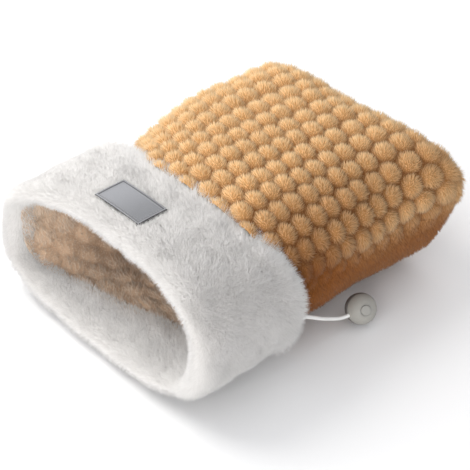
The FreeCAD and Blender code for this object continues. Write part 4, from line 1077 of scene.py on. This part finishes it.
def labelMesh():
    steps = labelSet["edgeSteps"]
    edge = np.array(steps)

    def lineUp(long, count):
        inner = np.linspace(-long / 2 + edge[-1], long / 2 - edge[-1], count)
        return np.concatenate([edge[:-1] - long / 2, inner, long / 2 - edge[:-1][::-1]])

    gridX, gridY = np.meshgrid(lineUp(labelSet["long"], labelSet["across"]),
                               lineUp(labelSet["wide"], labelSet["deep"]))
    fromEdge = np.minimum(labelSet["long"] / 2 - np.abs(gridX), labelSet["wide"] / 2 - np.abs(gridY))
    raised = labelSet["rimHigh"] * (1 - smooth(fromEdge, labelSet["rim"], labelSet["rim"] + 0.5))
    droop = -labelSet["droop"] * (1 - smooth(fromEdge, 0, steps[1]))
    px, py = gridX + labelSet["x"], gridY + labelSet["y"]
    top = labelTop(px, py) + labelSet["thick"] + raised + droop - labelSet["sunk"]
    piece = gridMesh("labelPatch", np.stack([px, py, top], axis=2))
    for material in (labelCloth, labelRim, labelEdge):
        piece.data.materials.append(material)
    # painted shade: the label is darker towards its +X end and a little towards its -Y edge
    setField(piece, "labelShade", smooth(gridX - 0.2 * gridY, -20, 22))
    centres = readAll(piece.data.polygons, "center", 3, float) / mm
    near = np.minimum(labelSet["long"] / 2 - np.abs(centres[:, 0] - labelSet["x"]),
                      labelSet["wide"] / 2 - np.abs(centres[:, 1] - labelSet["y"]))
    # a dark bound edge, a paler rim, and a dark line where the rim meets the face
    which = np.select([near < steps[1], near < labelSet["rim"], near < steps[-1]], [2, 1, 2], 0)
    piece.data.polygons.foreach_set("material_index", which.astype(np.int32))
    wall = piece.modifiers.new("wall", "SOLIDIFY")
    wall.thickness = labelSet["thick"] * mm
    wall.offset = -1
    applyModifiers(piece)
    return piece


labelPatch = labelMesh()
finishPiece(labelPatch, "pouch", "grey_label", "label_patch")


def stitchTree():
    tree, into, out = nodeGroup("GeometryNodeTree", "stitchesOnLine", [
        ("Line", geometryKind, None), ("Spacing", floatKind, 0.0024), ("Long", floatKind, 0.0015),
        ("Wide", floatKind, 0.0004), ("Thread", finishKind, None)], [("Stitches", geometryKind)])
    spread = newNode(tree, "GeometryNodeCurveToPoints", (-600, 0), mode="LENGTH")
    feed(tree, spread.inputs["Curve"], into.outputs["Line"])
    feed(tree, spread.inputs["Length"], into.outputs["Spacing"])
    stitch = newNode(tree, "GeometryNodeMeshUVSphere", (-600, 400))
    stitch.inputs["Segments"].default_value = 6
    stitch.inputs["Rings"].default_value = 5
    stitch.inputs["Radius"].default_value = 0.5
    turn = newNode(tree, "FunctionNodeAlignRotationToVector", (-300, -200), axis="X")
    feed(tree, turn.inputs["Vector"], spread.outputs["Tangent"])
    scale = sizes(tree, into.outputs["Long"], into.outputs["Wide"], into.outputs["Wide"], (-300, -400))
    stand = onPoints(tree, spread.outputs["Points"], stitch.outputs["Mesh"], turn.outputs["Rotation"], scale,
                     (0, 0))
    feed(tree, out.inputs["Stitches"], realPieces(tree, stand, into.outputs["Thread"], (250, 0)))
    return tree


stitchNodes = stitchTree()
stitchCurve = bpy.data.curves.new("stitchLine", "CURVE")
stitchCurve.dimensions = "3D"
stitchHalf = (labelSet["long"] / 2 - labelSet["inset"], labelSet["wide"] / 2 - labelSet["inset"])
stitchCorners = [(-1, -1), (1, -1), (1, 1), (-1, 1), (-1, -1)]
stitchPath = []
for (ax, ay), (bx, by) in zip(stitchCorners, stitchCorners[1:]):
    for t in np.linspace(0, 1, 16)[:-1]:
        sx = (ax + (bx - ax) * t) * stitchHalf[0] + labelSet["x"]
        sy = (ay + (by - ay) * t) * stitchHalf[1] + labelSet["y"]
        stitchPath.append((sx * mm, sy * mm, (labelTop(sx, sy) + labelSet["thick"] - 0.35) * mm))
stitchLine = stitchCurve.splines.new("POLY")
stitchLine.points.add(len(stitchPath) - 1)
for point, place in zip(stitchLine.points, stitchPath):
    point.co = (*place, 1)
stitchLine.use_cyclic_u = True
stitchSource = addObject("stitchSource", stitchCurve)
stitchModifier = stitchSource.modifiers.new("stitches", "NODES")
stitchModifier.node_group = stitchNodes
stitchModifier[socketId(stitchNodes, "Spacing")] = (labelSet["stitchLong"] + labelSet["stitchGap"]) * mm
stitchModifier[socketId(stitchNodes, "Long")] = labelSet["stitchLong"] * mm
stitchModifier[socketId(stitchNodes, "Wide")] = labelSet["stitchWide"] * 1.4 * mm
stitchModifier[socketId(stitchNodes, "Thread")] = labelThread
stitchMesh = evaluatedMesh(stitchSource)
bpy.data.objects.remove(stitchSource)
smoothFaces(stitchMesh)
labelStitches = addObject("labelStitches", stitchMesh)
finishPiece(labelStitches, "pouch", "label_thread", "label_stitching")
print("hand warmer: label")


# finishes of the pieces that keep their designed shape

finishes = {
    "heater_carrier": heaterCloth, "heater_cover": heaterCloth, "heating_wire": wireCream,
    "thermal_cutout": switchBlack, "splice_sleeve": sleeveBlack, "inner_lead": leadSheath,
    "lead_exit_grommet": grommetRubber, "lead_crimp": platedMetal, "control_rear_shell": ballRear,
    "control_front_shell": ballFront, "control_button": buttonFace, "indicator_ring": lightRing,
    "circuit_board": boardGreen, "tactile_switch": switchBlack, "power_socket": platedMetal,
    "control_screws": platedMetal,
}
for name, material in finishes.items():
    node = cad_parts[name]
    if not node.data.materials:
        node.data.materials.append(material)
    for place in node.material_slots:
        place.material = material


# floor

floorSet = {"half": 3, "at": -0.0004, "colour": (0.92, 0.92, 0.92)}
floorMesh = bpy.data.meshes.new("floor")
floorCorners = [(x * floorSet["half"], y * floorSet["half"], floorSet["at"])
                for x, y in ((-1, -1), (1, -1), (1, 1), (-1, 1))]
floorMesh.from_pydata(floorCorners, [], [(0, 1, 2, 3)])
floor = addObject("floor", floorMesh)
floorMaterial, _, floorShader = newMaterial("paleFloor")
floorShader.inputs["Base Color"].default_value = (*floorSet["colour"], 1)
floorShader.inputs["Roughness"].default_value = 0.9
floorMesh.materials.append(floorMaterial)

print("hand warmer: done")
